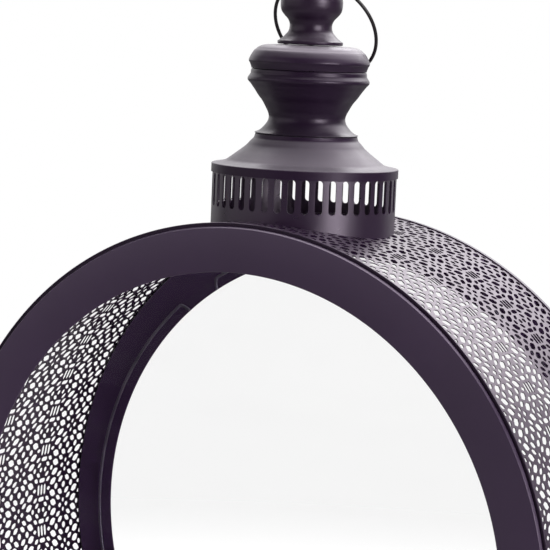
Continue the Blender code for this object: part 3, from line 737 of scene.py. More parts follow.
# Painted light: faces towards -Y, seen inside the drum through the glass, get about three times
# the aubergine's colour to lighten their shade; faces towards +Y get about the aubergine itself.
frame_paint_painted_light = paint("frame_paint_painted_light", (0.0580, 0.0240, 0.0850), rough=0.42, peel=0.16,
                    specular=0.28, back=(0.0210, 0.0084, 0.0280))
door_paint = paint("door_paint", (0.0315, 0.0130, 0.0455), rough=0.34, peel=0.16,
                   specular=0.9, worn=True, dust_and_sheen=0.15)
chimney_paint = paint("chimney_paint", AUBERGINE, rough=0.31, peel=0.14, specular=0.95,
                      worn=True)
# Painted highlight: a strong pale tone on the roof's up-facing faces stands in for the sheen of
# the light above, partly dusting.
roof_paint_dust_and_sheen = paint("roof_paint_dust_and_sheen", AUBERGINE, rough=0.40, peel=0.14, specular=0.32, worn=True,
                   dust_and_sheen=0.80)
turned_paint = paint("turned_paint", (0.0150, 0.0055, 0.0200), rough=0.36, peel=0.12,
                     specular=0.42, dust_and_sheen=0.12)
# Painted light: the base is lifted above turned_paint to lighten the cap's side, and a brighter
# pale tone on its top is a painted highlight of the light above, partly dusting.
cap_paint_painted_light = paint("cap_paint_painted_light", (0.0185, 0.0075, 0.0240), rough=0.36, peel=0.12,
                  specular=0.45, dust_and_sheen=0.95, dust_and_sheen_colour=(0.215, 0.192, 0.222))
# Painted light: the base is lifted above turned_paint to lighten the finial.
finial_paint_painted_light = paint("finial_paint_painted_light", (0.0200, 0.0090, 0.0240), rough=0.36, peel=0.12,
                     specular=0.50, dust_and_sheen=0.20)
base_paint = paint("base_paint", AUBERGINE, rough=0.36, peel=0.24, worn=True)
ring_wire = wire("ring_wire_paint", (0.020, 0.016, 0.018), metal=0.2)
spring_wire = wire("spring_wire_steel", (0.135, 0.115, 0.165), metal=0.9)
steel = zinc()
clear_glass = thin_pane("clear_glass_pane", tint=(0.980, 0.980, 0.980), rough=0.01)
felt = plain("black_felt", (0.018, 0.018, 0.019), rough=0.95, tone=0.35, patch=120.0,
             grain=1800.0, depth=0.0004, strength=0.9, sheen=0.5)
wax = plain("ivory_wax", (0.80, 0.70, 0.52), rough=0.50, tone=0.07, patch=22.0,
            grain=160.0, depth=0.00035, strength=0.25, subsurface=0.35)
ivory = plain("ivory_plastic", (0.70, 0.64, 0.52), rough=0.45, tone=0.04, patch=30.0,
              grain=900.0, depth=0.00005, strength=0.2)
black_plastic = plain("black_plastic", (0.020, 0.020, 0.021), rough=0.42, tone=0.15,
                      patch=50.0, grain=1300.0, depth=0.00008, strength=0.4)
board = plain("board_green", (0.015, 0.13, 0.055), rough=0.38, tone=0.12, patch=90.0,
              grain=700.0, depth=0.00005, strength=0.3, coat=0.4)
red_wire = plain("red_wire", (0.45, 0.02, 0.02), rough=0.42, tone=0.08, patch=60.0,
                 grain=900.0, depth=0.00005, strength=0.2)
amber = plain("amber_lens", (0.95, 0.66, 0.25), rough=0.22, tone=0.06, patch=40.0,
              grain=200.0, depth=0.0002, strength=0.2, subsurface=0.2, transmission=0.55,
              coat=0.4)
led_epoxy = plain("led_epoxy", (0.95, 0.85, 0.55), rough=0.10, tone=0.03, patch=40.0,
                  grain=900.0, depth=0.00002, strength=0.1, transmission=0.8)
clear_cover = thin_pane("clear_cover", tint=(0.95, 0.955, 0.95), rough=0.03)
battery_material = battery_sleeve()
silicon_material = solar_silicon()

# ---- the punched band ------------------------------------------------------------------
# A repeating tile. Offsets are in drum radii: u round the drum, v in depth.
PITCH_U = 0.13577
PITCH_V = 0.2508
ROW_V = 0.0054                  # depth of the middle row of rosettes
COLUMN_ANGLE = 0.7726           # angle of column 0, from +X towards +Z
FIRST_COLUMN, LAST_COLUMN = -3, 38          # the regular columns
CUT_FRONT, CUT_BACK = BAND_FRONT + 0.6, BAND_BACK - 0.6     # no hole passes these
SEAM = 1.4                      # half width of the plain seam along the top
VENT_R = 42.0                   # hole under the chimney


def turned(points, u, v, degrees):
    """Points turned from the u axis and moved to (u, v)."""
    cosine, sine = math.cos(math.radians(degrees)), math.sin(math.radians(degrees))
    return [(u + cosine * x - sine * y, v + sine * x + cosine * y) for x, y in points]


def dot(u, v, radius, sides=8):
    return [(u + radius * math.cos(TAU * (i + 0.5) / sides),
             v + radius * math.sin(TAU * (i + 0.5) / sides)) for i in range(sides)]


def petal(u, v, length, width, degrees):
    """A pointed oval."""
    half = [((-0.5 + i / 4) * length, 0.5 * width * math.sin(math.pi * (i / 4)) ** 0.55)
            for i in range(5)]
    return turned(half + [(x, -y) for x, y in half[::-1][1:-1]], u, v, degrees)


def stadium(u, v, length, width, degrees):
    """A slot with round ends."""
    reach, radius = 0.5 * (length - width), 0.5 * width
    points = []
    for x, begin in ((reach, -90), (-reach, 90)):
        for i in range(4):
            angle = math.radians(begin + 180.0 * i / 3)
            points.append((x + radius * math.cos(angle), radius * math.sin(angle)))
    return turned(points, u, v, degrees)


def tile():
    """Holes of one tile; s and t are the signs of its mirrored copies."""
    mid_u, mid_v = 0.5 * PITCH_U, 0.5 * PITCH_V
    # a rosette, and the crossed cluster half a tile away round the drum
    holes = [dot(0, 0, 0.0108, 10)]
    for s in (-1, 1):
        holes += [dot(0, s * 0.0428, 0.0106, 10),
                  petal(mid_u, s * 0.0182, 0.0212, 0.0158, 90),
                  dot(mid_u + s * 0.0156, 0, 0.0076)]
        for t in (-1, 1):
            turn = s * t
            holes += [petal(s * 0.0212, t * 0.0190, 0.0323, 0.0180, -64 * turn),
                      petal(mid_u + s * 0.0278, t * 0.0290, 0.0303, 0.0155, 66 * turn),
                      # rows of long petals on both sides
                      petal(s * 0.0200, t * 0.0622, 0.0392, 0.0226, -70 * turn),
                      petal(s * 0.0520, t * 0.0571, 0.0392, 0.0224, -70 * turn)]
    # half a tile deeper: a barred oval, and another rosette beside it
    for k in (-1, 0, 1):
        holes.append(stadium(0, mid_v + k * 0.0172, 0.0366, 0.0126, 0))
    for s in (-1, 1):
        holes += [petal(0, mid_v + s * 0.0392, 0.0220, 0.0133, 90),
                  stadium(s * 0.0315, mid_v, 0.0342, 0.0145, 90),
                  dot(mid_u, mid_v + s * 0.0470, 0.0090),
                  dot(mid_u, mid_v + s * 0.0122, 0.0086)]
        for t in (-1, 1):
            turn = s * t
            holes += [petal(mid_u + s * 0.0168, mid_v + t * 0.0240, 0.0260, 0.0143, -62 * turn),
                      petal(s * 0.0323, mid_v + t * 0.0334, 0.0264, 0.0146, 66 * turn)]
    return holes


TILE = tile()


def column(centre):
    """Every hole of one tile column, in mm, with its rosettes at centre."""
    holes = []
    for row in (-2, -1, 0, 1):
        for hole in TILE:
            points = [(centre + u * DRUM_R, (ROW_V + row * PITCH_V + v) * DRUM_R)
                      for u, v in hole]
            depths = [p[1] for p in points]
            if max(depths) > CUT_FRONT + 0.25 and min(depths) < CUT_BACK - 0.25:
                holes.append(points)
    return holes


def column_place(number, turns=0):
    """Place of a column round the flat sheet, in mm."""
    return (COLUMN_ANGLE + TAU * turns - PITCH_U * number) * DRUM_R


def left_edge(hole):
    return min(p[0] for p in hole)


def right_edge(hole):
    return max(p[0] for p in hole)


def strip_outline(stations):
    return [(x, BAND_FRONT) for x in stations] + [(x, BAND_BACK) for x in stations[::-1]]


def cut_lines(left, right):
    return [[(left, y), (right, y)] for y in (CUT_FRONT, CUT_BACK)]


def within_cut(centres):
    return (centres[:, 1] > CUT_FRONT) & (centres[:, 1] < CUT_BACK)


def regular_column():
    """One column, its holes completed by the columns beside it."""
    width = PITCH_U * DRUM_R
    half = width / 2
    holes = [hole for k in (-1, 0, 1) for hole in column(k * width)
             if right_edge(hole) > -half and left_edge(hole) < half]
    return triangulate(strip_outline([-half + width * i / 8 for i in range(9)]), holes,
                       cut_lines(-half, half), may_cut=lambda centres, i: within_cut(centres))


def top_strip():
    """The top, with the sheet's seam and the vent under the chimney."""
    top = math.pi / 2 * DRUM_R
    begin = column_place(FIRST_COLUMN - 0.5)
    end = column_place(LAST_COLUMN + 0.5, turns=1)
    holes, sides = [], []
    for number in range(FIRST_COLUMN - 4, FIRST_COLUMN + 1):
        for hole in column(column_place(number)):
            if left_edge(hole) < top - SEAM - 0.3 and right_edge(hole) > begin:
                holes.append(hole)
                sides.append(-1)
    for number in range(LAST_COLUMN, LAST_COLUMN + 5):
        for hole in column(column_place(number, turns=1)):
            if right_edge(hole) > top + SEAM + 0.3 and left_edge(hole) < end:
                holes.append(hole)
                sides.append(1)
    holes.append([(top + DRUM_R * math.asin(x / DRUM_R), y) for x, y, _ in circle(VENT_R, 96)])
    sides.append(0)
    count = int((end - begin) / 3.0)
    outline = strip_outline([begin + (end - begin) * i / count for i in range(count + 1)])
    lines = cut_lines(begin, end) + [[(x, BAND_FRONT), (x, BAND_BACK)]
                                     for x in (top - SEAM, top + SEAM)]

    def may_cut(centres, i):
        if sides[i] == 0:
            return np.ones(len(centres), bool)
        return within_cut(centres) & ((centres[:, 0] - top) * sides[i] > SEAM)
    return triangulate(outline, holes, lines, may_cut=may_cut)


def band_mesh():
    flat, tris = regular_column()
    all_flat, all_tris, start = [], [], 0
    for number in range(FIRST_COLUMN, LAST_COLUMN + 1):
        all_flat.append(np.stack([flat[:, 0] + column_place(number), flat[:, 1]], 1))
        all_tris.append(tris + start)
        start += len(flat)
    flat, tris = top_strip()
    all_flat.append(flat)
    all_tris.append(tris + start)

    def bend(points, radius):
        angle = points[:, 0] / DRUM_R
        return np.stack([radius * np.cos(angle), points[:, 1],
                         AXIS_Z + radius * np.sin(angle)], 1)
    # u grows from +X towards +Z, v towards +Y: turn the faces to look outward
    return wrapped_sheet("punched_band", np.concatenate(all_flat),
                         np.concatenate(all_tris)[:, ::-1], BAND_R, BAND_R - BAND_SHEET, bend)


place("punched_band", "lantern", "perforated_band", "drum_paint", [drum_paint], band_mesh())

# ---- hoops, frame, door ------------------------------------------------------------------
HOOP_WALL_R = 189.2             # inside of both hoops' walls
FRAME_R = 187.6


def drum_ring(name, body, node, slot, material, profile, segments=288):
    """A (radius, y) profile turned round the drum's axis."""
    build(name, body, node, slot, material,
          [lathe(profile, segments, 'Y', (0, 0, AXIS_Z))], angle=30.0)


front, back = span("front_hoop", Y)
drum_ring("front_hoop_rolled", "lantern", "front_hoop", "drum_paint", hoop_paint, fillet(
    [(DRUM_R, back, 0.25), (DRUM_R, front + 1.25, 0.3), (HOOP_WALL_R, front + 1.25, 0.3),
     (HOOP_WALL_R, -68.25, 0.15), (183.0, -68.25, 0.2), (183.0, back, 0.2)], 0.2, 3))
front, back = span("rear_hoop", Y)
drum_ring("rear_hoop_rolled", "lantern", "rear_hoop", "drum_paint", hoop_paint, fillet(
    [(DRUM_R, back, 0.7), (DRUM_R, front, 0.25), (HOOP_WALL_R, front, 0.25),
     (HOOP_WALL_R, 69.3, 0.15), (184.5, 69.3, 0.2), (184.5, back, 0.2)], 0.2, 4))
FRAME_FRONT, back = span("rear_frame", Y)
drum_ring("rear_frame_pressed", "lantern", "rear_frame", "drum_paint", frame_paint_painted_light, fillet(
    [(FRAME_R, back, 0.3), (FRAME_R, FRAME_FRONT, 1.1), (OPENING_R, FRAME_FRONT, 0.35),
     (OPENING_R, FRAME_FRONT + SHEET, 0.3), (FRAME_R - SHEET, FRAME_FRONT + SHEET, 0.4),
     (FRAME_R - SHEET, back, 0.3)], 0.3, 5))
front, back = span("door_ring", Y)
door_r = half_size("door_ring", X)
drum_ring("door_ring_pressed", "door", "door_ring", "door_paint", door_paint, fillet(
    [(door_r, back, 0.12), (door_r, front + 1.55, 0.25), (door_r - 0.85, front, 0.40),
     (OPENING_R, front, 0.42), (OPENING_R, front + 0.9, 0.3), (door_r - 1.0, front + 0.9, 0.5),
     (door_r - 1.0, back, 0.25)], 0.3, 6))

# both panes are cut to the rear pane's radius
GLASS_R = half_size("rear_glass", X)
GLASS_FRONT, GLASS_BACK = span("front_glass", Y)
for name, body, node in (("rear_pane", "lantern", "rear_glass"),
                         ("front_pane", "door", "front_glass")):
    front, back = span(node, Y)
    drum_ring(name, body, node, "clear_glass", clear_glass, fillet(
        [(0, front, 0), (GLASS_R, front, 0.35), (GLASS_R, back, 0.35), (0, back, 0)],
        0.3, 3), segments=192)

# sprung wire that holds the rear pane, its ends turned in to be pinched
SPRING_WIRE_R = 0.9
SPRING_Y = middle("rear_glass_wire", Y)
SPRING_R = span("rear_glass_wire", X)[1] - SPRING_WIRE_R
GAP_FROM, GAP_TO = 123.0, 132.0         # degrees round the drum
TURN_IN = 6.0
polar = [(SPRING_R - TURN_IN * (1 - i / 6.0) ** 2, GAP_TO - 0.3 + 1.4 * (i / 6.0))
         for i in range(7)]
polar += [(SPRING_R, GAP_TO + 1.1 + (360.0 - (GAP_TO - GAP_FROM) - 2.2) * i / 240)
          for i in range(1, 241)]
polar += [(SPRING_R - TURN_IN * (i / 6.0) ** 2, 360.0 + GAP_FROM - 1.1 + 1.4 * (i / 6.0))
          for i in range(1, 7)]
path = [(radius * math.cos(math.radians(angle)), SPRING_Y,
         AXIS_Z + radius * math.sin(math.radians(angle))) for radius, angle in polar]
build("rear_pane_spring", "lantern", "rear_glass_wire", "spring_wire", spring_wire,
      [tube(path, SPRING_WIRE_R, 12)])

# folded lugs on the rear frame, each with a spot weld, and clips on the door
TAB_HALF = 4.5                          # half width of a lug or clip
root = FRAME_FRONT - 0.3
lug = extrude(fillet(
    [(171.6, root), (171.6, SPRING_Y - 1.2, 0.5), (167.6, SPRING_Y - 1.2),
     (167.6, SPRING_Y - 2.0), (172.4, SPRING_Y - 2.0, 0.9), (172.4, root - SHEET, 0.4),
     (177.5, root - SHEET), (177.5, root)], 0.2, 3), -TAB_HALF, TAB_HALF, 0.2)
spot_weld = lathe([(0, -0.06), (0.9, -0.04), (1.3, 0.0), (1.5, 0.14), (1.8, 0.14), (1.9, 0.0)],
                  20, '-Y', (175.0, root - SHEET, 0.0), closed=False)
for i, degrees in enumerate((90.0, 210.0, 330.0), 1):
    build(f"rear_lug_folded_{i}", "lantern", f"rear_lug_{i}", "drum_paint", door_paint,
          [radial(lug, degrees), radial(spot_weld, degrees)])
root, tip = GLASS_FRONT, GLASS_BACK + 0.3
clip = extrude(fillet(
    [(170.2, root), (180.0, root), (180.0, root + SHEET), (171.0, root + SHEET, 0.3),
     (171.0, tip + SHEET, 0.7), (164.2, tip + SHEET), (164.2, tip), (170.2, tip, 0.3)],
    0.2, 3), -TAB_HALF, TAB_HALF, 0.2)
rivet = dome(1.5, 0.8, (175.5, root + SHEET, 0.0), 'Y', 20)
for i, degrees in enumerate((60.0, 150.0, 300.0), 1):
    build(f"front_clip_folded_{i}", "door", f"front_clip_{i}", "door_paint", door_paint,
          [radial(clip, degrees)], rivets=[radial(rivet, degrees)])

# ---- chimney collar ------------------------------------------------------------------------
COLLAR_R = 51.8
COLLAR_TOP = span("chimney_collar", Z)[1]
SLOTS = 43
SLOT_LOW, SLOT_HIGH = AXIS_Z + 195.25, AXIS_Z + 213.95
SLOT_END_R = 4.15 / 2


def collar_mesh():
    around = TAU * COLLAR_R
    count = SLOTS * 4
    stations = [around * i / count for i in range(count + 1)]

    def seat(u):
        """Height at which the collar meets the band."""
        x = COLLAR_R * math.cos(u / COLLAR_R)
        return AXIS_Z + math.sqrt((BAND_R - 0.05) ** 2 - x * x)
    outline = [(u, seat(u)) for u in stations] + [(u, COLLAR_TOP) for u in stations[::-1]]
    holes = []
    for k in range(SLOTS):
        # a bar, not a slot, faces straight forward at -90 degrees
        degrees = -90.0 + (k + 0.5) * 360.0 / SLOTS
        u = (math.radians(degrees) % TAU) * COLLAR_R
        hole = []
        for z, begin in ((SLOT_HIGH - SLOT_END_R, 0.0), (SLOT_LOW + SLOT_END_R, 180.0)):
            for i in range(9):
                angle = math.radians(begin + 180.0 * i / 8)
                hole.append((u + SLOT_END_R * math.cos(angle), z + SLOT_END_R * math.sin(angle)))
        holes.append(hole)
    # loose points just below and above the slots
    extra = [(u, AXIS_Z + level) for level in (193.4, 215.3) for u in stations[1:-1]]
    flat, tris = triangulate(outline, holes, extra=extra)

    def bend(points, radius):
        angle = points[:, 0] / COLLAR_R
        return np.stack([radius * np.cos(angle), radius * np.sin(angle), points[:, 1]], 1)
    return wrapped_sheet("chimney_collar_slotted", flat, tris, COLLAR_R, COLLAR_R - 1.0, bend)


place("chimney_collar_slotted", "lantern", "chimney_collar", "chimney_paint",
      [chimney_paint], collar_mesh())

# ---- turned top ------------------------------------------------------------------------------
# Tables hold (height above the drum's axis, radius), in drum radii.
TOP_SEGMENTS = 216
BORE_R = 2.4                    # hole for the tie rod, mm

SKIRT = [(1.2424, .1512), (1.2380, .1522), (1.2330, .1536), (1.2295, .1556), (1.2245, .1604),
         (1.2180, .1664), (1.2090, .1742), (1.1970, .1880), (1.1850, .2035), (1.1705, .2225),
         (1.1620, .2345), (1.1570, .2500), (1.1540, .2640), (1.1528, .2730)]
SKIRT_RIM = [(1.1521, .2757), (1.1506, .2768), (1.1266, .2768), (1.1261, .2765),
             (1.1261, .2749), (1.1266, .2746), (1.1440, .2746), (1.1456, .2735)]
outer = spline(scaled(SKIRT), 6)
inner = [p for p in offset_left(outer, -0.7)[::-1]
         if p[0] < .2700 * DRUM_R and p[0] > .162 * DRUM_R]
profile = ([(BORE_R, height(1.2430))] + scaled([(1.2430, .1490), (1.2427, .1504)]) + outer
           + scaled(SKIRT_RIM) + inner + scaled([(1.2372, .1430)]) + [(BORE_R, height(1.2372))])
build("skirt_roof_spun", "lantern", "skirt_roof", "chimney_paint", roof_paint_dust_and_sheen,
      [lathe(profile, TOP_SEGMENTS)], angle=28.0)

WAIST = [(1.4260, .1714), (1.4200, .1718), (1.4143, .1748), (1.4083, .1788), (1.4030, .1802),
         (1.3985, .1790), (1.3940, .1752), (1.3880, .1698), (1.3800, .1640), (1.3720, .1580),
         (1.3550, .1465), (1.3400, .1345), (1.3210, .1236), (1.3060, .1160), (1.2930, .1132),
         (1.2800, .1162), (1.2685, .1236), (1.2567, .1345), (1.2505, .1436), (1.2480, .1500)]
WAIST_LIP = [(1.4320, .1660), (1.4322, .1694), (1.4312, .1702)]
WAIST_FOOT = [(1.2473, .1524), (1.2465, .1532), (1.2456, .1532), (1.2450, .1526),
              (1.2450, .1460)]
outer = spline(scaled(WAIST), 5)
inner = offset_left(outer, -0.8)[::-1][3:-3]
build("waist_body_spun", "lantern", "waist_body", "turned_paint", turned_paint,
      [lathe(scaled(WAIST_LIP) + outer + scaled(WAIST_FOOT) + inner, TOP_SEGMENTS)], angle=30.0)

CAP = [(1.5060, .1000), (1.5058, .1150), (1.5042, .1330), (1.4985, .1495), (1.4915, .1585),
       (1.4870, .1638), (1.4745, .1718), (1.4660, .1760), (1.4610, .1780), (1.4570, .1788),
       (1.4540, .1780), (1.4500, .1755), (1.4439, .1730), (1.4390, .1712), (1.4350, .1704)]
outer = spline(scaled(CAP), 5)
inner = [p for p in offset_left(outer, -0.9)[::-1] if p[1] > height(1.4365)]
profile = ([(BORE_R, height(1.5060))] + scaled([(1.5060, .0900)]) + outer
           + scaled([(1.4341, .1698), (1.4341, .1665)]) + inner + [(BORE_R, height(1.5012))])
build("cap_spun", "lantern", "cap", "turned_paint", cap_paint_painted_light,
      [lathe(profile, TOP_SEGMENTS)], angle=30.0)

FINIAL = [(1.6320, .0920), (1.6160, .0910), (1.6040, .0873), (1.5925, .0785), (1.5810, .0680),
          (1.5700, .0632), (1.5560, .0630), (1.5450, .0665), (1.5365, .0735), (1.5300, .0795),
          (1.5225, .0885)]
FINIAL_FOOT = [(1.5195, .0930), (1.5185, .0956), (1.5170, .0965), (1.5110, .0965),
               (1.5092, .0955), (1.5082, .0930), (1.5078, 0.0)]
ball = [(1.632 + .0596 * math.sin(math.radians(a)), .092 * math.cos(math.radians(a)) ** 0.98)
        for a in range(84, 0, -6)] + [(1.632, .092)]
profile = (scaled([(1.6916, 0.0)] + ball)[:-1] + spline(scaled(FINIAL), 5)
           + scaled(FINIAL_FOOT))
build("finial_turned", "lantern", "finial", "turned_paint", finial_paint_painted_light,
      [lathe(profile, 144)], angle=30.0)

# bent eye with a small foot round each leg
eye_wire_r = half_size("hanging_eye", X)
eye_low, eye_high = span("hanging_eye", Z)
bend_r = span("hanging_eye", Y)[1] - eye_wire_r
bend_z = eye_high - eye_wire_r - bend_r
leg = bend_z - eye_low
path = [(0, -bend_r, eye_low + 0.2 + leg * i / 6.0) for i in range(6)]
path += [(0, -bend_r * math.cos(math.pi * i / 24), bend_z + bend_r * math.sin(math.pi * i / 24))
         for i in range(25)]
path += [(0, bend_r, bend_z - leg * i / 6.0) for i in range(1, 7)]
foot = [(eye_wire_r, height(1.6850)), (2.4, height(1.6850)), (2.2, height(1.6895)),
        (1.6, height(1.6925)), (eye_wire_r, height(1.6935))]
build("hanging_eye_bent", "lantern", "hanging_eye", "turned_paint", finial_paint_painted_light,
      [tube(path, eye_wire_r, 18)] + [lathe(foot, 28, at=(0, s * bend_r, 0)) for s in (-1, 1)])

HANDLE_WIRE_R = 1.0
HANDLE_LEAN = math.radians(33.0)        # its top leans to the front
handle_r = half_size("ring_handle", X) - HANDLE_WIRE_R
handle_y, handle_z = middle("ring_handle", Y), middle("ring_handle", Z)
path = [(handle_r * math.sin(TAU * i / 160),
         handle_y - handle_r * math.cos(TAU * i / 160) * math.sin(HANDLE_LEAN),
         handle_z + handle_r * math.cos(TAU * i / 160) * math.cos(HANDLE_LEAN))
        for i in range(160)]
build("ring_handle_wire", "ring", "ring_handle", "ring_wire", ring_wire,
      [tube(path, HANDLE_WIRE_R, 16, closed=True)])

# ---- hinge and latch -----------------------------------------------------------------------
HINGE_X, HINGE_Y = middle("hinge_pin", X), middle("hinge_pin", Y)
LEAF_HALF = 20.0                        # half height of the leaf on the drum
KNUCKLE_R, KNUCKLE_BORE = 2.6, 1.5
DOOR_LEAF_HALF = 11.6


def knuckle(low, high):
    return lathe(fillet([(KNUCKLE_R, AXIS_Z + high, 0.35), (KNUCKLE_R, AXIS_Z + low, 0.35),
                         (KNUCKLE_BORE, AXIS_Z + low, 0.2), (KNUCKLE_BORE, AXIS_Z + high, 0.2)],
                        0.2, 3), 36, at=(HINGE_X, HINGE_Y, 0))


parts = [bevel_box((190.4, -68.6, AXIS_Z - LEAF_HALF), (191.6, -50.0, AXIS_Z + LEAF_HALF),
                   0.4, 3)]
for low, high in ((-LEAF_HALF, -12.0), (12.0, LEAF_HALF)):
    parts.append(bevel_box((190.4, -71.2, AXIS_Z + low), (191.6, -68.0, AXIS_Z + high), 0.3, 2))
    parts.append(knuckle(low, high))
parts += [dome(2.3, 0.9, (191.6, -57.5, AXIS_Z + z), 'X', 28) for z in (-13.0, 0.0, 13.0)]
build("hinge_leaf_on_drum", "lantern", "hinge_leaf_body", "drum_paint", hoop_paint, parts)

parts = [bevel_box((171.0, -71.9, AXIS_Z - DOOR_LEAF_HALF),
                   (191.2, -70.8, AXIS_Z + DOOR_LEAF_HALF), 0.35, 3),
         knuckle(-DOOR_LEAF_HALF, DOOR_LEAF_HALF)]
parts += [dome(2.2, 0.9, (177.5, -71.9, AXIS_Z + z), '-Y', 28) for z in (-6.5, 6.5)]
build("hinge_leaf_on_door", "door", "hinge_leaf_door", "door_paint", door_paint, parts)

# (radius, height above the drum's axis): a rounded head, then the shank
PIN_HEAD = [(0.0, 22.6), (0.9, 22.45), (1.7, 22.0), (2.2, 21.3)]
PIN_SHANK = [(2.3, 20.9), (2.3, 20.4), (1.2, 20.4), (1.2, -20.6), (1.0, -21.1), (0.6, -21.4),
             (0.0, -21.4)]
head, shank = [[(radius, AXIS_Z + z) for radius, z in table] for table in (PIN_HEAD, PIN_SHANK)]
build("hinge_pin_headed", "lantern", "hinge_pin", "zinc_steel", steel,
      [lathe(spline(head, 4) + shank, 32, at=(HINGE_X, HINGE_Y, 0))])

# (radius, distance in front of the origin)
LATCH_X = middle("latch_knob", X)
KNOB = [(0.0, 86.4), (1.6, 86.32), (3.0, 86.0), (4.4, 85.35), (5.4, 84.6), (6.2, 83.5),
        (6.5, 82.4), (6.5, 81.3), (6.3, 80.2), (5.7, 79.2), (5.0, 78.4), (4.0, 77.5),
        (3.2, 76.8), (2.85, 75.9), (2.8, 75.0), (3.0, 73.6), (3.6, 72.7)]
KNOB_SHANK = [(4.3, 72.1), (5.1, 71.8), (5.4, 71.5), (5.4, 71.1), (5.2, 70.9), (2.0, 70.9),
              (2.0, 63.9), (1.7, 63.6), (0.0, 63.6)]
build("latch_knob_turned", "latch", "latch_knob", "door_paint", turned_paint,
      [lathe(spline(KNOB, 4) + KNOB_SHANK, 72, '-Y', (LATCH_X, 0, AXIS_Z))], angle=30.0)

# (x from the knob, z above the axis, corner radius)
TONGUE = [(-3.6, -3.6, 2.4), (3.6, -3.6, 2.4), (3.6, 7.0, 1.5), (2.2, 10.6, 1.6),
          (-2.2, 10.6, 1.6), (-3.6, 7.0, 1.5)]
outline = fillet([(LATCH_X + x, AXIS_Z + z, radius) for x, z, radius in TONGUE], 1.5, 5)
verts, faces = extrude(outline, *span("latch_tongue", Y), 0.2)
build("latch_tongue_blade", "latch", "latch_tongue", "door_paint", steel,
      [([(x, y, z) for x, z, y in verts], faces)])

# ---- nuts, bolts and rod --------------------------------------------------------------------

def hex_nut(radius, low, high, bore, axis, at):
    """A nut with chamfered corners; radius is to its corners."""
    rise = 0.12 * (high - low)
    rings = []
    for z, chamfer in ((low, 0.90), (low + rise, 1.0), (high - rise, 1.0), (high, 0.90)):
        ring = []
        for i in range(48):
            angle = TAU * i / 48
            flat = (radius * math.cos(math.pi / 6)
                    / math.cos((angle % (math.pi / 3)) - math.pi / 6))
            reach = min(flat, radius * (chamfer + 0.02))
            ring.append((reach * math.cos(angle), reach * math.sin(angle), z))
        rings.append(ring)
    for z, hole in ((high, bore + 0.35), (high - 0.3, bore), (low + 0.3, bore),
                    (low, bore + 0.35)):
        rings.append(circle(hole, 48, z))
    verts, faces = skin(rings, closed=True)
    return stand(verts, axis, at), faces


# name, node, corner radius, bore radius, axis, body
NUTS = (("latch_nut_hex", "latch_nut", 3.7, 2.15, 'Y', "latch"),
        ("tie_nut_hex", "tie_nut", 4.1, 2.2, 'Z', "lantern"),
        ("drum_nut_hex_front", "drum_nut_front", 4.6, 2.7, 'Z', "lantern"),
        ("drum_nut_hex_rear", "drum_nut_rear", 4.6, 2.7, 'Z', "lantern"))
for name, node, radius, bore, axis, body in NUTS:
    along = "XYZ".index(axis)
    at = [0.0 if i == along else middle(node, i) for i in (X, Y, Z)]
    build(name, body, node, "zinc_steel", steel,
          [hex_nut(radius, *span(node, along), bore, axis, at)], angle=25.0)


def threaded(radius, low, high, pitch, y=0.0):
    """An upright rod with thread rings."""
    count = max(2, int((high - low) / pitch))
    profile = [(0.0, high), (radius * 0.78, high), (radius * 0.86, high - 0.3)]
    for i in range(count):
        z = high - 0.4 - (high - low - 0.8) * i / count
        profile += [(radius, z), (radius * 0.88, z - 0.5 * pitch)]
    return lathe(profile + [(radius * 0.8, low), (0.0, low)], 24, at=(0, y, 0))


build("tie_rod_threaded", "lantern", "tie_rod", "zinc_steel", steel,
      [threaded(2.0, *span("tie_rod", Z), 0.8)], angle=20.0)
low, high = span("tie_washer", Z)
build("tie_washer_flat", "lantern", "tie_washer", "zinc_steel", steel, [lathe(fillet(
    [(7.0, high, 0.3), (7.0, low, 0.3), (2.4, low, 0.1), (2.4, high, 0.1)], 0.2, 3), 64)])

# (radius, height)
BOLT_DOME = [(0.0, 25.2), (1.3, 25.15), (2.4, 24.95), (3.4, 24.45), (4.2, 23.6), (4.6, 22.4)]
BOLT_UNDER = [(4.6, 21.7), (2.4, 21.7), (2.4, 20.5), (0.0, 20.5)]
for end in ("front", "rear"):
    y = middle("drum_bolt_" + end, Y)
    build("drum_bolt_domed_" + end, "lantern", "drum_bolt_" + end, "zinc_steel", steel,
          [lathe(spline(BOLT_DOME, 4) + BOLT_UNDER, 48, at=(0, y, 0)),
           threaded(2.4, 11.6, 20.6, 0.9, y)], angle=25.0)

# ---- foot ---------------------------------------------------------------------------------
low, high = span("base_felt", Z)
build("base_felt_pad", "lantern", "base_felt", "felt", felt, [slab(
    rounded_rect(93.0, 70.0, 16.0, 12),
    [(0.5, low), (0.0, low + 0.5), (0.0, high - 0.3), (0.3, high)])])
low, high = span("base_plate", Z)
build("base_plate_pressed", "lantern", "base_plate", "base_paint", base_paint, [slab(
    rounded_rect(96.0, 73.0, 18.0, 14),
    [(0.6, low), (0.15, low + 0.2), (0.0, low + 0.6), (0.0, high - 1.1), (0.25, high - 0.5),
     (0.75, high - 0.1), (1.3, high)])], angle=40.0)

SADDLE_R = DRUM_R + 0.4


def saddle(x):
    """Height of the pedestal's hollow top, which follows the drum."""
    return AXIS_Z - np.sqrt(SADDLE_R * SADDLE_R - x ** 2)


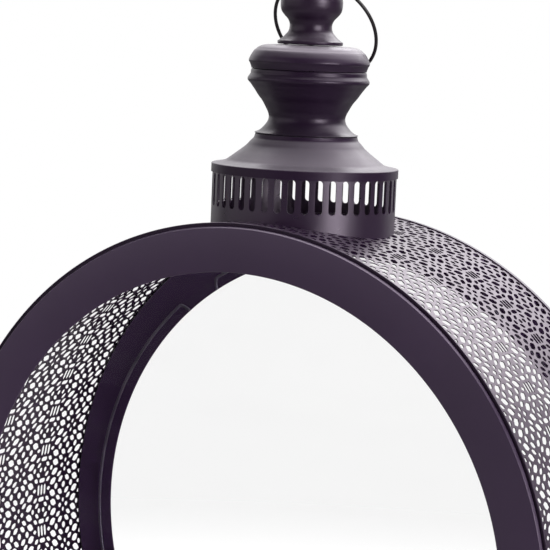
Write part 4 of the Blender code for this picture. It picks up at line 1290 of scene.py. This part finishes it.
def pedestal_parts():
    WALL_INSET, WALL_START = 1.7, 4.2
    half_width, half_depth = span("pedestal", X)[1], span("pedestal", Y)[1]
    low = span("pedestal", Z)[0]
    corners = [Vector(p) for p in rounded_rect(half_width, half_depth, 7.0, 8)]
    # finer along the sides so the saddle is round
    outline = []
    for here, following in zip(corners, corners[1:] + corners[:1]):
        count = max(1, int((following - here).length / 4.0))
        outline += [tuple(here.lerp(following, k / count)) for k in range(count)]
    outline = np.array(outline)
    top = saddle(outline[:, 0])
    # a small bead at the foot, then a straight wall to a turned-in lip
    rings = [inset_ring(outline, inset, low + rise) for inset, rise in
             ((0.5, 0.0), (0.0, 0.5), (0.0, 2.2), (0.6, 2.9), (1.6, 3.4),
              (WALL_INSET, WALL_START))]
    for part in (0.35, 0.7, 0.94):
        rings.append(inset_ring(outline, WALL_INSET,
                                low + WALL_START + (top - 0.5 - low - WALL_START) * part))
    for inset, drop in ((1.9, 0.12), (2.3, 0.0)):
        ring = inset_ring(outline, inset, 0.0)
        ring[:, 2] = saddle(ring[:, 0]) - drop
        rings.append(ring)
    verts, faces = skin(rings)
    faces.append(tuple(range(len(outline) - 1, -1, -1)))
    # saddle top: triangles on a grid inside the last ring
    grid = [(x, y) for x in np.arange(-half_width + 6, half_width - 5, 4.0)
            for y in (-half_depth + 8, -half_depth / 2, 0, half_depth / 2, half_depth - 8)]
    flat, tris = triangulate([tuple(p[:2]) for p in rings[-1]], [], extra=grid)
    cap = [(float(x), float(y), float(saddle(x))) for x, y in flat]
    return [(verts, faces), (cap, [tuple(int(i) for i in tri) for tri in tris])]


build("pedestal_formed", "lantern", "pedestal", "base_paint", base_paint, pedestal_parts(),
      angle=40.0, weld=0.004)

# ---- base screws, (radius, height) from the tip down to the head ----------------------------
SCREW_HEAD_R = 3.1
SCREW = [(0, 13.4), (0.5, 13.1), (1.0, 12.4), (1.4, 11.6), (1.15, 11.2), (1.4, 10.8),
         (1.15, 10.4), (1.4, 10.0), (1.15, 9.6), (1.4, 9.2), (1.15, 8.8), (1.4, 8.4),
         (1.15, 8.0), (1.4, 7.6), (1.4, 3.5), (3.0, 3.4), (SCREW_HEAD_R, 3.2),
         (SCREW_HEAD_R, 2.7), (2.9, 2.35), (2.4, 2.15), (1.2, 2.1), (0, 2.1)]


def cut_cross(screw, x, y, z):
    """Cuts a cross recess in a screw's head."""
    bm = bmesh.new()
    narrow, wide = SCREW_HEAD_R * 0.16, SCREW_HEAD_R * 0.55
    for half_x, half_y in ((narrow, wide), (wide, narrow)):
        box = bmesh.ops.create_cube(bm, size=1.0)["verts"]
        bmesh.ops.scale(bm, verts=box, vec=(2 * half_x * MM, 2 * half_y * MM, 1.6 * MM))
        bmesh.ops.translate(bm, verts=box, vec=(x * MM, y * MM, z * MM))
    mesh = bpy.data.meshes.new(screw.name + "_cut")
    bm.to_mesh(mesh)
    bm.free()
    cutter = new_object(screw.name + "_cut", mesh)
    recess = screw.modifiers.new("recess", 'BOOLEAN')
    recess.object = cutter
    recess.solver = 'EXACT'
    recess.use_self = True
    bpy.context.view_layer.update()
    graph = bpy.context.evaluated_depsgraph_get()
    result = bpy.data.meshes.new_from_object(screw.evaluated_get(graph))
    screw.modifiers.clear()
    screw.data = result
    bpy.data.objects.remove(cutter, do_unlink=True)


for i in range(1, 5):
    node = f"base_screw_{i}"
    x, y, z = middle(node, X), middle(node, Y), span(node, Z)[0]
    cut_cross(build(f"base_screw_cross_{i}", "lantern", node, "zinc_steel", steel,
                    [lathe(SCREW, 32, at=(x, y, 0))], angle=28.0), x, y, z)

# ---- shelf inside --------------------------------------------------------------------------
TRAY_LIP = 5.0
tray_z = span("floor_tray", Z)[1] - TRAY_LIP        # upper face of the tray
tray = fillet([(-56.0, tray_z + TRAY_LIP, 0.4), (-57.2, tray_z + TRAY_LIP, 0.4),
               (-57.2, tray_z - 1.2, 2.0), (57.2, tray_z - 1.2, 2.0),
               (57.2, tray_z + TRAY_LIP, 0.4), (56.0, tray_z + TRAY_LIP, 0.4),
               (56.0, tray_z, 1.0), (-56.0, tray_z, 1.0)], 0.4, 5)
verts, faces = extrude(tray, *span("floor_tray", X), 0.3)
build("floor_tray_folded", "lantern", "floor_tray", "base_paint", base_paint,
      [([(x, y, z) for y, z, x in verts], faces)],
      rivets=[dome(2.4, 1.1, (x, y, tray_z), 'Z', 28)
              for x in (-76.0, 76.0) for y in (-18.0, 18.0)])
for tag, side in (("left", -1), ("right", 1)):
    node = "tray_bracket_" + tag
    low = span(node, Z)[0]
    angle_section = fillet(
        [(side * 68.0, tray_z - 3.0), (side * 68.0, tray_z - 1.5),
         (side * 85.0, tray_z - 1.5, 2.0), (side * 85.0, low), (side * 83.5, low),
         (side * 83.5, tray_z - 3.0, 0.8)], 0.3, 5)
    verts, faces = extrude(angle_section, *span(node, Y), 0.25)
    build("tray_bracket_folded_" + tag, "lantern", node, "base_paint", base_paint,
          [([(x, y, z) for x, z, y in verts], faces)])

low = span("candle_cup", Z)[0]
wall = fillet([(36.0, low + 1.0, 0.1), (38.6, low + 1.0, 2.2), (38.6, low + 8.2, 0.2),
               (39.3, low + 9.1, 0.7), (40.0, low + 8.2, 0.2), (40.0, low, 3.0),
               (36.0, low, 0.2)], 0.3, 6, closed=False)
build("candle_cup_spun", "lantern", "candle_cup", "base_paint", base_paint,
      [lathe([(0.0, low + 1.0), (34.0, low + 1.0)] + wall + [(0.0, low)], 144)], angle=30.0)

# ---- solar pillar light ----------------------------------------------------------------------
LIGHT_Z = span("pillar_base", Z)[0]
WAX_LOW, WAX_TOP = span("pillar_body", Z)
WAX_R = half_size("pillar_body", X)
WAX_BORE = 35.7


def pillar_part():
    """A hollow candle with a softly melted rim."""
    def rim(a):
        wave = ((0.5 + 0.5 * math.sin(2 * a + 0.6)) * 0.45
                + (0.5 + 0.5 * math.sin(3 * a + 2.1)) * 0.35
                + (0.5 + 0.5 * math.sin(7 * a)) * 0.20)
        return WAX_TOP - 6.2 * (1.0 - wave)

    def outer(a, part):
        dents = (0.16 * math.sin(5 * a + 3.0 * part) + 0.12 * math.sin(9 * a - 7.0 * part)
                 + 0.10 * math.sin(13.0 * part + 2 * a))
        radius = WAX_R - 0.40 + dents
        if part < 0.02:
            radius -= 0.5 * (1 - part / 0.02)
        # the rim swells a little where wax has set
        radius += 0.22 * math.exp(-((part - 0.955) / 0.022) ** 2)
        if part > 0.965:
            radius -= 1.0 * ((part - 0.965) / 0.035) ** 2
        return min(radius, WAX_R)

    def ring(part, radius_at, drop=0.0):
        points = []
        for i in range(180):
            a = TAU * i / 180
            radius = radius_at(a, part)
            z = WAX_LOW + (rim(a) - WAX_LOW) * part - drop
            points.append((radius * math.cos(a), radius * math.sin(a), z))
        return points
    # shares of the height: up the outside, then down the bore
    up = ([0.0, 0.008, 0.03] + [0.06 + 0.82 * i / 26 for i in range(27)]
          + [0.91, 0.94, 0.965, 0.985, 1.0])
    rings = [ring(part, outer) for part in up]
    rings.append(ring(1.0, lambda a, part: WAX_BORE + 0.55, drop=0.35))
    rings += [ring(part, lambda a, part: WAX_BORE) for part in (0.985, 0.95, 0.9, 0.6, 0.3, 0.0)]
    return skin(rings, closed=True)


build("pillar_body_wax", "pillar", "pillar_body", "ivory_resin", wax, [pillar_part()],
      angle=60.0)

# Flat rings: name, node, slot, material, (bore, outer radius), (bottom, top) above
# the light's base, corner radii (top bore, top outer, bottom), steps per corner
RINGS = (("pillar_deck_moulded", "pillar_deck", "ivory_plastic", ivory,
          (6.6, 35.3), (77.0, 78.6), (0.3, 0.4, 0.3), 4),
         ("solar_cell_wafer", "solar_cell", "solar_silicon", silicon_material,
          (10.0, 33.0), (78.9, 79.9), (0.1, 0.15, 0.1), 2),
         ("cell_cover_clear", "cell_cover", "clear_cover", clear_cover,
          (8.0, 34.6), (80.2, 82.2), (0.4, 0.7, 0.3), 4))
for name, node, slot, material, (bore, outer), (low, high), corners, steps in RINGS:
    build(name, "pillar", node, slot, material, [lathe(fillet(
        [(bore, LIGHT_Z + high, corners[0]), (outer, LIGHT_Z + high, corners[1]),
         (outer, LIGHT_Z + low, corners[2]), (bore, LIGHT_Z + low, corners[2])],
        corners[2], steps), 144)])

# (radius, height above the light's base): tip to foot, then up the inside
FLAME_OUTER = [(0.05, 112.0), (0.9, 109.6), (1.9, 106.8), (3.0, 103.8), (4.2, 100.2),
               (5.3, 96.4), (6.0, 92.2), (6.1, 88.0), (5.9, 83.0), (5.6, 78.5), (5.4, 74.0)]
FLAME_INNER = [(4.3, 74.0), (4.6, 84.0), (4.6, 90.0), (3.6, 97.0), (1.6, 104.0), (0.0, 106.0)]


def flame_part():
    outer, inner = [[(radius, LIGHT_Z + z) for radius, z in table]
                    for table in (FLAME_OUTER, FLAME_INNER)]
    verts, faces = lathe([(0.0, LIGHT_Z + 112.0)] + spline(outer, 5)[1:] + inner, 64)
    swept = []
    for x, y, z in verts:
        # flattened and swept a little to one side above the shoulder
        rise = max(0.0, (z - LIGHT_Z - 88.0) / 24.0)
        swept.append((x + 0.55 * rise * math.sin(2.4 * rise),
                      y * (1.0 - 0.22 * min(1.0, rise * 1.6)), z))
    return swept, faces


build("flame_lens_moulded", "pillar", "flame_lens", "amber_lens", amber, [flame_part()],
      angle=50.0)

# pieces that keep their CAD shape, with finished materials
CAD_MATERIALS = {
    "pillar_base": ivory, "battery_door": ivory, "led": led_epoxy, "circuit_board": board,
    "battery_holder": black_plastic, "battery": battery_material, "switch_body": steel,
    "switch_knob": black_plastic, "battery_lead": red_wire, "battery_door_screw": steel}
for node, material in CAD_MATERIALS.items():
    piece = frame["nodes"][node]
    if not piece.material_slots:
        piece.data.materials.append(material)
    for material_slot in piece.material_slots:
        material_slot.material = material

# ---- stage -----------------------------------------------------------------------------------

def floor_material():
    """Pale near the lantern, fading to plain white light further out."""
    material, tree = new_material("floor_pale")
    vector = object_coords(tree)
    distance = add(tree, "VectorMath", {0: vector}, operation='LENGTH').outputs["Value"]
    seen = add(tree, "LightPath").outputs["Is Camera Ray"]
    pale = add(tree, "BsdfPrincipled", {
        "Base Color": blend(seen, (0.26, 0.26, 0.26), (0.82, 0.82, 0.82)),
        "Roughness": remap(noise(vector, scale=3.0), source=(0.3, 0.7),
                           to=(0.6, 0.7))}).outputs[0]
    glow = add(tree, "Emission", {
        "Color": (1, 1, 1, 1),
        "Strength": remap(seen, source=(0.0, 1.0), to=(0.22, 1.0))}).outputs[0]
    fade = remap(distance, source=(0.35, 1.15), smooth=True)
    mixed = add(tree, "MixShader", {0: fade, 1: pale, 2: glow}).outputs[0]
    add(tree, "OutputMaterial", {0: mixed})
    return material


def floor():
    """A flat disc in rings, radii in metres."""
    bm = bmesh.new()
    centre = bm.verts.new((0, 0, 0))
    inner = None
    for radius in (0.4, 0.8, 1.2, 1.8, 2.6, 4.0, 8.0):
        row = [bm.verts.new(p) for p in circle(radius, 96)]
        for i in range(96):
            j = (i + 1) % 96
            if inner is None:
                bm.faces.new((centre, row[i], row[j]))
            else:
                bm.faces.new((inner[i], row[i], row[j], inner[j]))
        inner = row
    mesh = bpy.data.meshes.new("floor")
    bm.to_mesh(mesh)
    bm.free()
    piece = new_object("floor", mesh)
    mesh.materials.append(floor_material())


floor()

# strengths of the studio's lights
AMBIENT, BACKDROP, OVERHEAD, LEFT, RIGHT = 0.034, 1.1, 3.8, 0.74, 9.0


def world():
    """A studio seen by reflections: white backdrop behind, a big softbox above
    and behind, two upright softboxes in front, dark between them."""
    studio = bpy.data.worlds.new("studio")
    bpy.context.scene.world = studio
    studio.use_nodes = True
    tree = studio.node_tree
    tree.nodes.clear()
    direction = add(tree, "TexCoord").outputs["Generated"]
    axes = add(tree, "SeparateXYZ", {0: direction}).outputs
    # degrees from -Y towards +X, and degrees above the horizon
    azimuth = calc('MULTIPLY', calc('ARCTAN2', axes["X"], calc('MULTIPLY', axes["Y"], -1.0)),
                   180.0 / math.pi)
    elevation = calc('MULTIPLY', calc('ARCSINE', axes["Z"]), 180.0 / math.pi)

    def toward(aim):
        return add(tree, "VectorMath", {0: direction, 1: Vector(aim).normalized()},
                   operation='DOT_PRODUCT').outputs["Value"]

    def softbox(centre, half_width, soft, low, high, power):
        off = calc('ABSOLUTE', calc('SUBTRACT', azimuth, centre))
        across = remap(off, source=(half_width - soft, half_width + soft), to=(power, 0.0),
                       smooth=True)
        above = remap(elevation, source=(low - 8.0, low + 8.0), smooth=True)
        below = remap(elevation, source=(high - 8.0, high + 8.0), to=(1.0, 0.0), smooth=True)
        return calc('MULTIPLY', across, calc('MULTIPLY', above, below))

    total = calc('ADD', remap(toward((-0.4755, 0.8797, 0.0)), source=(0.42, 0.74),
                              to=(0.0, BACKDROP), smooth=True), AMBIENT)
    overhead = remap(toward((0.05, 0.45, 0.89)), to=(0.0, OVERHEAD), smooth=True,
                     source=(math.cos(math.radians(51)), math.cos(math.radians(31))))
    left = softbox(centre=-44.0, half_width=37.0, soft=9.0, low=-30.0, high=35.0, power=LEFT)
    right = softbox(centre=70.0, half_width=14.0, soft=6.0, low=-20.0, high=26.0, power=RIGHT)
    for light in (overhead, left, right):
        total = calc('ADD', total, light)
    # the camera itself sees plain white
    seen = add(tree, "LightPath").outputs["Is Camera Ray"]
    strength = add(tree, "Mix", {0: seen, 2: total, 3: 1.0}, data_type='FLOAT').outputs[0]
    background = add(tree, "Background", {"Color": (1, 1, 1, 1), "Strength": strength})
    add(tree, "OutputWorld", {0: background.outputs[0]})


world()

# ---- camera -----------------------------------------------------------------------------------
CAMERA_X, CAMERA_Y = 0.63585, -1.17468      # metres
CAMERA_ABOVE_AXIS = 0.300751
YAW, PITCH, ROLL = -0.5068, 0.1077, 0.0418  # radians: from +Y towards +X, downwards, about view


def camera():
    data = bpy.data.cameras.new("camera")
    data.lens = 155.62
    data.sensor_width = 36.0
    data.clip_start, data.clip_end = 0.05, 50.0
    piece = new_object("camera", data)
    view = Vector((math.sin(YAW) * math.cos(PITCH), math.cos(YAW) * math.cos(PITCH),
                   -math.sin(PITCH)))
    level = Vector((math.cos(YAW), -math.sin(YAW), 0.0))
    upright = level.cross(view)
    right = math.cos(ROLL) * level + math.sin(ROLL) * upright
    up = -math.sin(ROLL) * level + math.cos(ROLL) * upright
    place_at = (CAMERA_X, CAMERA_Y, AXIS_Z * MM + CAMERA_ABOVE_AXIS)
    rows = [(right[i], up[i], -view[i], place_at[i]) for i in range(3)]
    piece.matrix_world = Matrix((*rows, (0, 0, 0, 1)))
    bpy.context.scene.camera = piece


camera()
bpy.context.scene.view_settings.view_transform = 'Standard'
